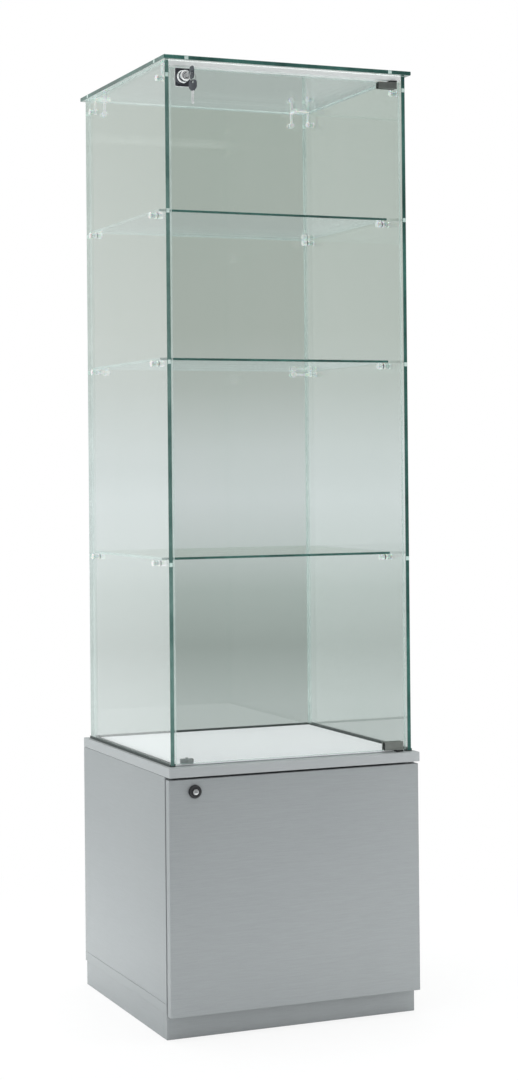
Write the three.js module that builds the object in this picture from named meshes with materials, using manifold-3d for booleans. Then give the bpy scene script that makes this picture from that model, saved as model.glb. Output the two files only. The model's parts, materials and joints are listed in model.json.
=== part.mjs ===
// Tower display case: a frameless glass showcase on a lockable base cabinet.
// Millimetres, +Z up, front towards -Y. The origin is the centre of the footprint of the
// whole object, keys included, on the floor.

import * as THREE from 'three';
import { mergeVertices } from 'three/addons/utils/BufferGeometryUtils.js';
import Module from 'manifold-3d';

const wasm = await Module();
wasm.setup();

// ---------------------------------------------------------------- driving dimensions

const HEIGHT = 1880;              // floor to the top of the top glass
const BASE_WIDTH = 530;           // cabinet, X
const BASE_DEPTH = 530;           // cabinet with its overhanging top board, Y
const BOARD = 19;                 // cabinet board thickness
const DECK_Z = 521.5;             // upper face of the top board
const PLINTH_HEIGHT = 50;
const PLINTH_INSET = 2;           // plinth behind the side faces
const TOP_GLASS_WIDTH = 524;
const TOP_GLASS_DEPTH = 522;
const GLASS_WIDTH = 510.6;        // over the outer faces of the side panels
const GLASS_DEPTH = 494;          // front edge of the side panels to the back panel's rear
const GLASS = 8;                  // panel thickness
const SHELF = 5;                  // shelf thickness
const SHELF_TOPS = { lower: 918, middle: 1306, upper: 1595 };
const SHELF_SETBACK = 68;         // shelf front edge behind the glass front
const KEY_REACH = 317;            // case centre to the front of the hanging key
const GAP = 0.3;                  // between touching pieces
const ARRIS = 0.8;                // ground chamfer on glass edges
const PROUD = 1;                  // cutting tools run this far past the faces they cut
const SEGMENTS = 12;              // facets round small turned pieces

// ---------------------------------------------------------------- derived places

const HALF_BASE = BASE_WIDTH / 2;
const BASE_FRONT = -BASE_DEPTH / 2;
const BASE_BACK = BASE_DEPTH / 2;
const OVERHANG = 5;               // top board in front of the cabinet door
const DOOR_FRONT = BASE_FRONT + OVERHANG;
const DOOR_BACK = DOOR_FRONT + BOARD;
const CARCASS_FRONT = DOOR_BACK + 3;
const TOP_BOARD_Z = DECK_Z - BOARD;
const FLOOR_BOARD_Z = PLINTH_HEIGHT + GAP;
const CAVITY_Z = FLOOR_BOARD_Z + BOARD;

const OUTER_X = GLASS_WIDTH / 2;
const INNER_X = OUTER_X - GLASS;
const GLASS_FRONT = -GLASS_DEPTH / 2;
const GLASS_REAR = GLASS_DEPTH / 2;
const BACK_INNER_Y = GLASS_REAR - GLASS;
const CEILING_Z = HEIGHT - GLASS;
const GLASS_FOOT_Z = DECK_Z + 2;  // lower edge of the fixed panels, in their glazing strips
const GLASS_HEAD_Z = CEILING_Z - GAP;
const STRIP_HEIGHT = 5;           // glazing strips
const SHELF_FRONT = GLASS_FRONT + SHELF_SETBACK;
const SHELF_REAR = BACK_INNER_Y - 2;

const JOINT_X = 216;              // corner joint discs, from the centre plane
const JOINT_REAR_Y = 213;
const JOINT_FRONT_Y = -204;
const JOINT_Z = CEILING_Z - 28;
const DISC_RADIUS = 6;            // discs of the corner joints
const DISC_DEPTH = 5;
const ARM_WIDTH = 5;
const ARM_DEPTH = 4;
const HOLE_RADIUS = 4;            // holes drilled in the glass
const SHANK_RADIUS = 3.6;
const HEAD_DEPTH = 2.5;           // outer heads on the glass

const PEG_RADIUS = 6;             // shelf supports
const PEG_LENGTH = 16;
const PEG_FRONT_Y = -160;
const PEG_REAR_Y = 218;
const PEG_DROP = SHELF + GAP + PEG_RADIUS;

const RAIL_FRONT = GLASS_FRONT;
const RAIL_BACK = RAIL_FRONT + 17;
const RAIL_Z = CEILING_Z - 9.7;   // underside of the head rail

const BACK_OF_DOOR = GLASS_FRONT + GLASS;
const DOOR_LEFT = -244.2;         // glass door
const DOOR_RIGHT = 244;
const DOOR_FOOT_Z = 525.5;
const DOOR_HEAD_Z = 1858.5;
const PIVOT_X = 229;
const PIVOT_Y = GLASS_FRONT + 5.5;
const PIN_RADIUS = 2;
const BUSH_BORE = PIN_RADIUS + 0.3;
const BUSH_OUTER = 3.8;
const BUSH_LENGTH = 8;
const SHOE_LEFT = 196;            // hinge shoes
const SHOE_RIGHT = 236;
const SHOE_PLATE = 3.2;
const SHOE_WEB = 2.5;
const SHOE_NECK = 7;              // half width of the web over the glass edge
const UPPER_SHOE_HEIGHT = 13;
const LOWER_SHOE_HEIGHT = 16.5;

const GLASS_LOCK_X = -221;
const GLASS_LOCK_Z = 1840;
const CABINET_LOCK_X = -212;
const CABINET_LOCK_Z = 474;
const LOCK_TAIL_Y = -228.9;       // rear end of both lock barrels
const TAIL_RADIUS = 9;
const CAM_THICKNESS = 2.5;
const CAM_RADIUS = 6;
const CAM_HEEL = 8;               // from the lock's centre to the cam's round back end
const KEYWAY_DEPTH = 10;
const GLASS_CAM_REACH = 27;
const CABINET_CAM_REACH = 24;

const CABINET_DOOR_SIDE = HALF_BASE - 1;
const CABINET_DOOR_FOOT_Z = 47;
const CABINET_DOOR_HEAD_Z = 498;
const CUP_X = CABINET_DOOR_SIDE - 22.5;
const CUP_FROM_END = 90;          // hinge cups from the door's upper and lower edge
const CUP_RADIUS = 17.4;
const CUP_DEPTH = 12;
const CUP_FLANGE = 19;

const KEY_TURN = THREE.MathUtils.degToRad(25);   // the hanging key is turned about Z
const RING_RADIUS = 8.5;
const RING_WIRE = 0.7;
const BOW_HOLE = 2.7;
const BOW_THICKNESS = 3.4;
const BLADE_THICKNESS = 1.9;
const SPARE_BOW_WIDTH = 20;
const KEY_HOLE_Y = (SPARE_BOW_WIDTH * Math.cos(KEY_TURN) + BOW_THICKNESS * Math.sin(KEY_TURN)) / 2
  - KEY_REACH;
const RING_SLACK = 0.9;           // wire centre below the hole centre it hangs in

// ---------------------------------------------------------------- materials

const finishes = {
  laminate: { color: 0xa9aeae, roughness: 0.45, metalness: 0.35 },
  white: { color: 0xe9eceb, roughness: 0.4, metalness: 0 },
  strip: { color: 0x2f3d39, roughness: 0.6, metalness: 0 },
  glass: { color: 0xbfd8cf, roughness: 0.03, metalness: 0 },
  clear: { color: 0xe8f0ee, roughness: 0.12, metalness: 0 },
  nickel: { color: 0x6f6d69, roughness: 0.3, metalness: 1 },
  chrome: { color: 0xd2d4d6, roughness: 0.1, metalness: 1 },
  black: { color: 0x17181a, roughness: 0.4, metalness: 0 },
  key_plastic: { color: 0x43484c, roughness: 0.5, metalness: 0 },
  smoke: { color: 0x8b9191, roughness: 0.35, metalness: 0 },
  steel: { color: 0xa7a9ab, roughness: 0.35, metalness: 1 },
};

const showcase = new THREE.Group();

function add(name, geometry, finish) {
  const mesh = new THREE.Mesh(geometry, new THREE.MeshStandardMaterial(finishes[finish]));
  mesh.name = name;
  showcase.add(mesh);
  return mesh;
}

// ---------------------------------------------------------------- solids

function solid(geometry) {
  const bare = geometry.clone();
  bare.deleteAttribute('normal');
  bare.deleteAttribute('uv');
  const merged = mergeVertices(bare, 1e-4);
  const mesh = new wasm.Mesh({
    numProp: 3,
    vertProperties: new Float32Array(merged.attributes.position.array),
    triVerts: new Uint32Array(merged.index.array),
  });
  return new wasm.Manifold(mesh);
}

function geometryOf(manifold) {
  const mesh = manifold.getMesh();
  const geometry = new THREE.BufferGeometry();
  geometry.setAttribute('position', new THREE.BufferAttribute(mesh.vertProperties, 3));
  geometry.setIndex(new THREE.BufferAttribute(mesh.triVerts, 1));
  return geometry;
}

function join(parts) {
  return geometryOf(parts.map(solid).reduce((whole, part) => whole.add(part)));
}

function cut(body, tools) {
  return geometryOf(tools.map(solid).reduce((whole, tool) => whole.subtract(tool), solid(body)));
}

function ordered(a, b) {
  return [Math.min(a, b), Math.max(a, b)];
}

function block(x0, x1, y0, y1, z0, z1) {
  const geometry = new THREE.BoxGeometry(x1 - x0, y1 - y0, z1 - z0);
  return geometry.translate((x0 + x1) / 2, (y0 + y1) / 2, (z0 + z1) / 2);
}

// A cylinder along an axis ('x', 'y' or 'z'), from one coordinate on it to another.
function rod(axis, from, to, radius, centre, segments = SEGMENTS) {
  const geometry = new THREE.CylinderGeometry(radius, radius, Math.abs(to - from), segments);
  const middle = (from + to) / 2;
  if (axis === 'x') {
    return geometry.rotateZ(Math.PI / 2).translate(middle, centre[0], centre[1]);
  }
  if (axis === 'y') {
    return geometry.translate(centre[0], middle, centre[1]);
  }
  return geometry.rotateX(Math.PI / 2).translate(centre[0], centre[1], middle);
}

// A turned piece: profile points are [radius, distance along +Z], closed on itself.
function turned(points, segments = SEGMENTS) {
  const outline = points.map(([radius, along]) => new THREE.Vector2(radius, along));
  return new THREE.LatheGeometry(outline, segments).rotateX(Math.PI / 2);
}

// The lathe turns clockwise outlines inside out, so every turned piece is put right here.
function turnedSolid(points, segments) {
  const geometry = mergeVertices(stripped(turned(points, segments)), 1e-4);
  return signedVolume(geometry) > 0 ? geometry : flipped(geometry);
}

function stripped(geometry) {
  geometry.deleteAttribute('normal');
  geometry.deleteAttribute('uv');
  return geometry;
}

function signedVolume(geometry) {
  const point = geometry.attributes.position;
  const order = geometry.index.array;
  const [a, b, c] = [new THREE.Vector3(), new THREE.Vector3(), new THREE.Vector3()];
  let volume = 0;
  for (let i = 0; i < order.length; i += 3) {
    a.fromBufferAttribute(point, order[i]);
    b.fromBufferAttribute(point, order[i + 1]);
    c.fromBufferAttribute(point, order[i + 2]);
    volume += a.dot(b.cross(c)) / 6;
  }
  return volume;
}

function flipped(geometry) {
  const order = geometry.index.array;
  for (let i = 0; i < order.length; i += 3) {
    [order[i + 1], order[i + 2]] = [order[i + 2], order[i + 1]];
  }
  return geometry;
}

// A plate drawn in its own plane with holes and ground edges, thick along +Z.
function plate(width, height, thickness, holes = [], bevel = ARRIS) {
  const half = [width / 2 - bevel, height / 2 - bevel];
  const shape = new THREE.Shape();
  shape.moveTo(-half[0], -half[1]);
  shape.lineTo(half[0], -half[1]);
  shape.lineTo(half[0], half[1]);
  shape.lineTo(-half[0], half[1]);
  shape.closePath();
  for (const [x, y, radius] of holes) {
    const hole = new THREE.Path();
    hole.absarc(x, y, radius + bevel, 0, 2 * Math.PI, true);
    shape.holes.push(hole);
  }
  return new THREE.ExtrudeGeometry(shape, {
    depth: thickness - 2 * bevel,
    bevelThickness: bevel,
    bevelSize: bevel,
    bevelSegments: 1,
    curveSegments: 6,
  }).translate(0, 0, bevel);
}

function rounded(shape, x0, x1, y0, y1, radius) {
  shape.moveTo(x0 + radius, y0);
  shape.lineTo(x1 - radius, y0);
  shape.absarc(x1 - radius, y0 + radius, radius, -Math.PI / 2, 0, false);
  shape.lineTo(x1, y1 - radius);
  shape.absarc(x1 - radius, y1 - radius, radius, 0, Math.PI / 2, false);
  shape.lineTo(x0 + radius, y1);
  shape.absarc(x0 + radius, y1 - radius, radius, Math.PI / 2, Math.PI, false);
  shape.lineTo(x0, y0 + radius);
  shape.absarc(x0 + radius, y0 + radius, radius, Math.PI, 1.5 * Math.PI, false);
  return shape;
}

function circleHole(x, y, radius) {
  const hole = new THREE.Path();
  hole.absarc(x, y, radius, 0, 2 * Math.PI, true);
  return hole;
}

function extrude(shape, depth, curveSegments = 5) {
  return new THREE.ExtrudeGeometry(shape, { depth, bevelEnabled: false, curveSegments });
}

// ---------------------------------------------------------------- base cabinet

function buildPlinth() {
  const frontSetback = 4;
  const rearSetback = 3;
  const side = HALF_BASE - PLINTH_INSET;
  const front = CARCASS_FRONT + frontSetback;
  const back = BASE_BACK - rearSetback;
  const inner = side - BOARD;
  add('plinth_front', block(-side, side, front, front + BOARD, 0, PLINTH_HEIGHT), 'laminate');
  for (const [name, sign] of [['left', -1], ['right', 1]]) {
    const xs = sign < 0 ? [-side, -inner] : [inner, side];
    const geometry = block(...xs, front + BOARD + GAP, back, 0, PLINTH_HEIGHT);
    add(`plinth_${name}`, geometry, 'laminate');
  }
  const rear = block(-inner + GAP, inner - GAP, back - BOARD, back, 0, PLINTH_HEIGHT);
  add('plinth_back', rear, 'laminate');
}

function buildCarcass() {
  const inner = HALF_BASE - BOARD;
  const wallTop = TOP_BOARD_Z - GAP;
  const floor = block(-HALF_BASE, HALF_BASE, CARCASS_FRONT, BASE_BACK, FLOOR_BOARD_Z, CAVITY_Z);
  add('bottom_board', floor, 'laminate');
  for (const [name, sign] of [['left', -1], ['right', 1]]) {
    const xs = sign < 0 ? [-HALF_BASE, -inner] : [inner, HALF_BASE];
    const wall = block(...xs, CARCASS_FRONT, BASE_BACK, CAVITY_Z + GAP, wallTop);
    add(`cabinet_side_${name}`, wall, 'laminate');
  }
  const backThickness = 8;
  const backInset = 7;
  const backFace = BASE_BACK - backInset;
  const rear = block(-inner + GAP, inner - GAP, backFace - backThickness, backFace,
    CAVITY_Z + GAP, wallTop);
  add('cabinet_back', rear, 'laminate');

  const seat = rod('z', DECK_Z - BUSH_LENGTH - GAP, DECK_Z + PROUD, BUSH_OUTER + GAP,
    [PIVOT_X, PIVOT_Y]);
  const top = block(-HALF_BASE, HALF_BASE, BASE_FRONT, BASE_BACK, TOP_BOARD_Z, DECK_Z);
  add('top_board', cut(top, [seat]), 'laminate');
}

function buildDeck() {
  const thickness = 2.2;
  const sideGap = 3;
  const frontGap = 1;
  const rearGap = 2.5;
  const swingRadius = 12.5;
  const wall = INNER_X - sideGap;
  const deck = block(-wall, wall, BACK_OF_DOOR + frontGap, BACK_INNER_Y - rearGap,
    DECK_Z + GAP, DECK_Z + thickness);
  // The lower hinge shoe turns in a rounded notch in the deck's edge.
  const notch = rod('z', DECK_Z - PROUD, DECK_Z + thickness + PROUD, swingRadius,
    [PIVOT_X, PIVOT_Y]);
  add('display_deck', cut(deck, [notch]), 'white');
}

// U-shaped glazing strip, drawn in section and run along +Z for its length.
function glazingStrip(length) {
  const half = GLASS / 2;
  const wall = 1.3;
  const floor = GLASS_FOOT_Z - DECK_Z - 2 * GAP;
  const outer = half + GAP + wall;
  const shape = new THREE.Shape();
  shape.moveTo(-outer, 0);
  shape.lineTo(outer, 0);
  shape.lineTo(outer, STRIP_HEIGHT);
  shape.lineTo(half + GAP, STRIP_HEIGHT);
  shape.lineTo(half + GAP, floor);
  shape.lineTo(-half - GAP, floor);
  shape.lineTo(-half - GAP, STRIP_HEIGHT);
  shape.lineTo(-outer, STRIP_HEIGHT);
  shape.closePath();
  return extrude(shape, length);
}

function buildGlazingStrips() {
  const wallReach = 3;
  const endGap = 2.5;
  for (const [name, sign] of [['left', -1], ['right', 1]]) {
    const strip = glazingStrip(GLASS_DEPTH).rotateX(Math.PI / 2);
    strip.translate(sign * (OUTER_X - GLASS / 2), GLASS_REAR, DECK_Z + GAP);
    // The inner wall stops where the back glass comes in.
    const xs = ordered(sign * (INNER_X + 0.1), sign * (INNER_X - wallReach));
    const backGlass = block(...xs, BACK_INNER_Y - endGap, GLASS_REAR + PROUD,
      DECK_Z, DECK_Z + STRIP_HEIGHT + 2 * PROUD);
    add(`glazing_strip_${name}`, cut(strip, [backGlass]), 'strip');
  }
  const backLength = 2 * (INNER_X - 2);
  const strip = glazingStrip(backLength).rotateX(Math.PI / 2).rotateZ(Math.PI / 2);
  strip.translate(-backLength / 2, GLASS_REAR - GLASS / 2, DECK_Z + GAP);
  add('glazing_strip_back', strip, 'strip');
}

// ---------------------------------------------------------------- fixed glass

const shelfNames = Object.keys(SHELF_TOPS);
const pegHeight = (shelf) => SHELF_TOPS[shelf] - PEG_DROP;
const MID_JOINT_Z = pegHeight('middle');

// The middle shelf's rear corners rest on the two-way corner joints.
const pegPlaces = (shelf) => (shelf === 'middle'
  ? [['front', PEG_FRONT_Y]]
  : [['front', PEG_FRONT_Y], ['rear', PEG_REAR_Y]]);

function sideHoles() {
  const places = [
    [JOINT_REAR_Y, JOINT_Z],
    [JOINT_FRONT_Y, JOINT_Z],
    [JOINT_REAR_Y, MID_JOINT_Z],
  ];
  for (const shelf of shelfNames) {
    for (const [, y] of pegPlaces(shelf)) {
      places.push([y, pegHeight(shelf)]);
    }
  }
  return places;
}

function buildGlass() {
  const height = GLASS_HEAD_Z - GLASS_FOOT_Z;
  const middle = (GLASS_HEAD_Z + GLASS_FOOT_Z) / 2;
  const holes = sideHoles().map(([y, z]) => [y, z - middle, HOLE_RADIUS]);
  for (const [name, x] of [['left', -OUTER_X], ['right', INNER_X]]) {
    const panel = plate(GLASS_DEPTH, height, GLASS, holes);
    panel.rotateX(Math.PI / 2).rotateZ(Math.PI / 2).translate(x, 0, middle);
    add(`glass_${name}`, panel, 'glass');
  }

  const backHoles = [];
  for (const x of [-JOINT_X, JOINT_X]) {
    for (const z of [JOINT_Z, MID_JOINT_Z]) {
      backHoles.push([x, z - middle, HOLE_RADIUS]);
    }
  }
  const back = plate(2 * (INNER_X - GAP), height, GLASS, backHoles);
  add('glass_back', back.rotateX(Math.PI / 2).translate(0, GLASS_REAR, middle), 'glass');

  const topHoles = [];
  for (const x of [-JOINT_X, JOINT_X]) {
    for (const y of [JOINT_FRONT_Y, JOINT_REAR_Y]) {
      topHoles.push([x, y, HOLE_RADIUS]);
    }
  }
  const top = plate(TOP_GLASS_WIDTH, TOP_GLASS_DEPTH, GLASS, topHoles);
  add('glass_top', top.translate(0, 0, CEILING_Z), 'glass');
}

function buildShelves() {
  const width = 2 * (INNER_X - 2);
  const depth = SHELF_REAR - SHELF_FRONT;
  const centreY = (SHELF_REAR + SHELF_FRONT) / 2;
  for (const shelf of shelfNames) {
    const pane = plate(width, depth, SHELF);
    add(`shelf_${shelf}`, pane.translate(0, centreY, SHELF_TOPS[shelf] - SHELF), 'glass');
  }
}

function buildShelfSupports() {
  const outside = -GLASS - 2 * GAP;
  const waist = PEG_RADIUS - 1.5;
  const groove = [4, 6];
  const profile = [
    [0, PEG_LENGTH], [PEG_RADIUS, PEG_LENGTH], [PEG_RADIUS, groove[1]], [waist, groove[1]],
    [waist, groove[0]], [PEG_RADIUS, groove[0]], [PEG_RADIUS, 0], [SHANK_RADIUS, 0],
    [SHANK_RADIUS, outside],
    [DISC_RADIUS, outside], [DISC_RADIUS, outside - HEAD_DEPTH], [0, outside - HEAD_DEPTH],
  ];
  for (const shelf of shelfNames) {
    for (const [end, y] of pegPlaces(shelf)) {
      for (const [side, sign] of [['left', 1], ['right', -1]]) {
        const peg = turnedSolid(profile).rotateY(sign * Math.PI / 2);
        peg.translate(-sign * (INNER_X - GAP), y, pegHeight(shelf));
        add(`shelf_support_${shelf}_${side}_${end}`, peg, 'clear');
      }
    }
  }
}

// ---------------------------------------------------------------- clear corner joints

// A disc on a panel's inner face with its shank through the glass, and a head outside it.
// 'inside' is the panel's inner face and 'inward' the direction into the case.
function glassFixing(axis, inside, inward, centre, withHead) {
  const face = inside + inward * GAP;
  const outer = inside - inward * (GLASS + GAP);
  const parts = [
    rod(axis, face, face + inward * DISC_DEPTH, DISC_RADIUS, centre),
  ];
  if (withHead) {
    parts.push(rod(axis, face + inward, outer - inward, SHANK_RADIUS, centre));
    parts.push(rod(axis, outer, outer - inward * HEAD_DEPTH, DISC_RADIUS, centre));
  } else {
    parts.push(rod(axis, face + inward, outer + inward, SHANK_RADIUS, centre));
  }
  return parts;
}

function buildTopJoints() {
  const ceiling = CEILING_Z - GAP;
  const half = ARM_WIDTH / 2;
  for (const [side, sign] of [['left', -1], ['right', 1]]) {
    const inner = sign * INNER_X;
    const wallFace = sign * (INNER_X - GAP);
    const wallFaceIn = sign * (INNER_X - GAP - ARM_DEPTH);
    const wall = ordered(wallFace, wallFaceIn);
    const across = ordered(wallFace, sign * JOINT_X);
    for (const [end, y] of [['rear', JOINT_REAR_Y], ['front', JOINT_FRONT_Y]]) {
      const parts = [
        ...glassFixing('x', inner, -sign, [y, JOINT_Z], true),
        ...glassFixing('z', CEILING_Z, -1, [sign * JOINT_X, y], false),
        block(...wall, y - half, y + half, JOINT_Z, ceiling),
        block(...across, y - half, y + half, ceiling - ARM_DEPTH, ceiling),
      ];
      if (end === 'rear') {
        const face = BACK_INNER_Y - GAP;
        const x = sign * JOINT_X;
        parts.push(...glassFixing('y', BACK_INNER_Y, -1, [x, JOINT_Z], true));
        parts.push(block(x - half, x + half, face - ARM_DEPTH, face, JOINT_Z, ceiling));
        parts.push(block(x - half, x + half, y, face, ceiling - ARM_DEPTH, ceiling));
      }
      add(`corner_joint_top_${end}_${side}`, join(parts), 'clear');
    }
  }
}

function buildMiddleJoints() {
  const half = ARM_WIDTH / 2;
  const z = MID_JOINT_Z;
  const backFace = BACK_INNER_Y - GAP;
  for (const [side, sign] of [['left', -1], ['right', 1]]) {
    const wallFace = sign * (INNER_X - GAP);
    const wallFaceIn = sign * (INNER_X - GAP - ARM_DEPTH);
    const wall = ordered(wallFace, wallFaceIn);
    const along = ordered(wallFace, sign * JOINT_X);
    const parts = [
      ...glassFixing('x', sign * INNER_X, -sign, [JOINT_REAR_Y, z], true),
      ...glassFixing('y', BACK_INNER_Y, -1, [sign * JOINT_X, z], true),
      block(...wall, JOINT_REAR_Y, backFace, z - half, z + half),
      block(...along, backFace - ARM_DEPTH, backFace, z - half, z + half),
    ];
    add(`corner_joint_middle_${side}`, join(parts), 'clear');
  }
}

// ---------------------------------------------------------------- head rail, bushes, stop

function buildHeadRail() {
  const reach = INNER_X - 2 * GAP;
  const rail = block(-reach, reach, RAIL_FRONT, RAIL_BACK, RAIL_Z, CEILING_Z - GAP);
  const seat = rod('z', RAIL_Z - PROUD, RAIL_Z + BUSH_LENGTH + GAP, BUSH_OUTER + GAP,
    [PIVOT_X, PIVOT_Y]);
  add('head_rail', cut(rail, [seat]), 'white');
}

function buildBushes() {
  const ring = [
    [BUSH_BORE, 0], [BUSH_OUTER, 0], [BUSH_OUTER, BUSH_LENGTH], [BUSH_BORE, BUSH_LENGTH],
    [BUSH_BORE, 0],
  ];
  for (const [name, z] of [['upper', RAIL_Z], ['lower', DECK_Z - BUSH_LENGTH]]) {
    add(`pivot_bush_${name}`, turnedSolid(ring).translate(PIVOT_X, PIVOT_Y, z), 'black');
  }
}

function buildDoorStop() {
  const centreX = -217.5;
  const front = BACK_OF_DOOR + 1.5;
  const foot = DECK_Z + 2.5;
  const halfWidth = 12.5;
  const height = 10;
  const depth = 10;
  const knobRadius = 3;
  const knobRise = 2;
  const shape = rounded(new THREE.Shape(), -halfWidth, halfWidth, 0, height, 1.5);
  const body = extrude(shape, depth).rotateX(Math.PI / 2).translate(centreX, front + depth, foot);
  const knob = rod('z', foot + height - PROUD, foot + height + knobRise, knobRadius,
    [centreX, front + depth / 2]);
  add('door_stop', join([body, knob]), 'smoke');
}

// ---------------------------------------------------------------- glass door

// A clamp over the glass edge with a pivot pin; outward is +1 at the head, -1 at the foot.
function hingeShoe(edge, outward, height) {
  const front = GLASS_FRONT - GAP;
  const back = BACK_OF_DOOR + GAP;
  const web = [edge + outward * GAP, edge + outward * (GAP + SHOE_WEB)];
  const edgeStep = 0.5;
  const near = edge - outward * edgeStep;
  const neck = [PIVOT_X - SHOE_NECK, PIVOT_X + SHOE_NECK];
  const parts = [];
  for (const ys of [[front - SHOE_PLATE, front], [back, back + SHOE_PLATE]]) {
    parts.push(block(SHOE_LEFT, SHOE_RIGHT, ...ys, ...ordered(near, near - outward * height)));
    parts.push(block(...neck, ...ys, ...ordered(near - outward * height, web[1])));
  }
  parts.push(block(...neck, front - SHOE_PLATE, back + SHOE_PLATE, ...ordered(...web)));
  const pinTip = web[1] + outward * (BUSH_LENGTH - 1);
  parts.push(rod('z', web[0], pinTip, PIN_RADIUS, [PIVOT_X, PIVOT_Y]));
  return join(parts);
}

function buildGlassDoor() {
  const width = DOOR_RIGHT - DOOR_LEFT;
  const height = DOOR_HEAD_Z - DOOR_FOOT_Z;
  const centreX = (DOOR_RIGHT + DOOR_LEFT) / 2;
  const centreZ = (DOOR_HEAD_Z + DOOR_FOOT_Z) / 2;
  const lockHole = [GLASS_LOCK_X - centreX, GLASS_LOCK_Z - centreZ, TAIL_RADIUS + 0.6];
  const pane = plate(width, height, GLASS, [lockHole]).rotateX(Math.PI / 2);
  add('glass_door', pane.translate(centreX, BACK_OF_DOOR, centreZ), 'glass');
  add('hinge_shoe_upper', hingeShoe(DOOR_HEAD_Z, 1, UPPER_SHOE_HEIGHT), 'nickel');
  add('hinge_shoe_lower', hingeShoe(DOOR_FOOT_Z, -1, LOWER_SHOE_HEIGHT), 'nickel');
}

// ---------------------------------------------------------------- locks

// Turned lock parts are drawn as [radius, distance in front of the case centre].
function turnedForward(points, x, z, segments = 18) {
  return turnedSolid(points, segments).rotateX(Math.PI / 2).translate(x, 0, z);
}

function lockPlug(radius, face, slot, x, z) {
  const profile = [[0, -LOCK_TAIL_Y], [radius, -LOCK_TAIL_Y], [radius, face], [0, face]];
  const [halfWidth, halfHeight] = slot;
  const keyway = block(x - halfWidth, x + halfWidth, -face - PROUD, -face + KEYWAY_DEPTH,
    z - halfHeight, z + halfHeight);
  return cut(turnedForward(profile, x, z), [keyway]);
}

function lockCam(reach, x, z) {
  const corner = CAM_RADIUS - 0.1;
  const shape = rounded(new THREE.Shape(), -CAM_HEEL, reach, -CAM_RADIUS, CAM_RADIUS, corner);
  const cam = extrude(shape, CAM_THICKNESS).rotateX(Math.PI / 2);
  return cam.translate(x, LOCK_TAIL_Y + GAP + CAM_THICKNESS, z);
}

function buildGlassLock() {
  const [x, z] = [GLASS_LOCK_X, GLASS_LOCK_Z];
  const bore = 7;
  const glassFace = -GLASS_FRONT + GAP;
  const tail = -LOCK_TAIL_Y;
  const collar = 12.5;
  const collarFace = 258;
  const nose = 10.5;
  const face = 272;
  const edge = 1;
  const barrel = turnedForward([
    [bore, tail], [TAIL_RADIUS, tail], [TAIL_RADIUS, glassFace + 1], [collar, glassFace + 1],
    [collar, collarFace - edge], [collar - edge, collarFace], [nose, collarFace],
    [nose, face - 1.5], [nose - edge, face], [bore, face], [bore, tail],
  ], x, z);
  const halfWidth = 15;
  const halfHeight = 17;
  const plateDepth = 4;
  const plateDrop = 1;            // plate's centre below the barrel's
  const shape = rounded(new THREE.Shape(), -halfWidth, halfWidth, -halfHeight, halfHeight, 1.5);
  shape.holes.push(circleHole(0, 0, bore + 2.4));
  const square = new THREE.ExtrudeGeometry(shape, {
    depth: plateDepth,
    bevelThickness: edge,
    bevelSize: edge,
    bevelSegments: 1,
    curveSegments: 4,
  });
  square.rotateX(Math.PI / 2).translate(x, -glassFace - edge, z - plateDrop);
  const around = 2 * halfHeight;
  const lockPlate = cut(square, [
    block(x - around, x + around, -glassFace, 0, z - around, z + around),
  ]);
  add('glass_lock_housing', join([lockPlate, barrel]), 'chrome');

  const nutFront = -BACK_OF_DOOR - GAP;
  const nutBack = nutFront - 5;
  const nutRadius = 14;
  const nut = [
    [TAIL_RADIUS + GAP, nutBack], [nutRadius, nutBack], [nutRadius, nutFront],
    [TAIL_RADIUS + GAP, nutFront], [TAIL_RADIUS + GAP, nutBack],
  ];
  add('glass_lock_nut', turnedForward(nut, x, z), 'chrome');
  add('glass_lock_plug', lockPlug(bore - 0.4, face + 0.6, [1.3, 4.6], x, z), 'chrome');
  add('glass_lock_cam', lockCam(GLASS_CAM_REACH, x, z), 'steel');
}

// A key drawn in its own plane (X along the blade, Y up) with its thickness centred on Z.
function keySolid(bow, blade) {
  const halfHeight = bow.height / 2;
  const shape = rounded(new THREE.Shape(), 0, bow.length, -halfHeight, halfHeight, bow.corner);
  shape.holes.push(circleHole(bow.length - bow.holeFromEnd, 0, BOW_HOLE));
  const grip = extrude(shape, BOW_THICKNESS, 6).translate(0, 0, -BOW_THICKNESS / 2);
  const rootInBow = 3;
  const half = [blade.width / 2, BLADE_THICKNESS / 2];
  return join([grip, block(-blade.length, rootInBow, -half[0], half[0], -half[1], half[1])]);
}

function buildKeys() {
  const bow = { length: 23, height: 25, corner: 9, holeFromEnd: 5 };
  const bowStart = -KEY_HOLE_Y + bow.holeFromEnd - bow.length;
  const key = keySolid(bow, { length: 24, width: 8 });
  key.rotateX(Math.PI / 2).rotateZ(-Math.PI / 2);
  add('key', key.translate(GLASS_LOCK_X, -bowStart, GLASS_LOCK_Z), 'key_plastic');

  const ringZ = GLASS_LOCK_Z - RING_SLACK - RING_RADIUS;
  const ring = new THREE.TorusGeometry(RING_RADIUS, RING_WIRE, 6, 24);
  ring.rotateX(Math.PI / 2).rotateZ(KEY_TURN).translate(GLASS_LOCK_X, KEY_HOLE_Y, ringZ);
  add('key_ring', ring, 'steel');

  // The second key hangs blade down, its hole on the lowest point of the ring.
  const spareBow = { length: 21, height: SPARE_BOW_WIDTH, corner: 8, holeFromEnd: 4.4 };
  const spare = keySolid(spareBow, { length: 25, width: 6 });
  spare.translate(spareBow.holeFromEnd - spareBow.length, 0, 0);
  spare.rotateY(-Math.PI / 2).rotateZ(Math.PI);
  spare.rotateZ(KEY_TURN);
  const spareZ = ringZ - RING_RADIUS - RING_SLACK;
  add('spare_key', spare.translate(GLASS_LOCK_X, KEY_HOLE_Y, spareZ), 'key_plastic');
}

// ---------------------------------------------------------------- cabinet door

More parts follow.
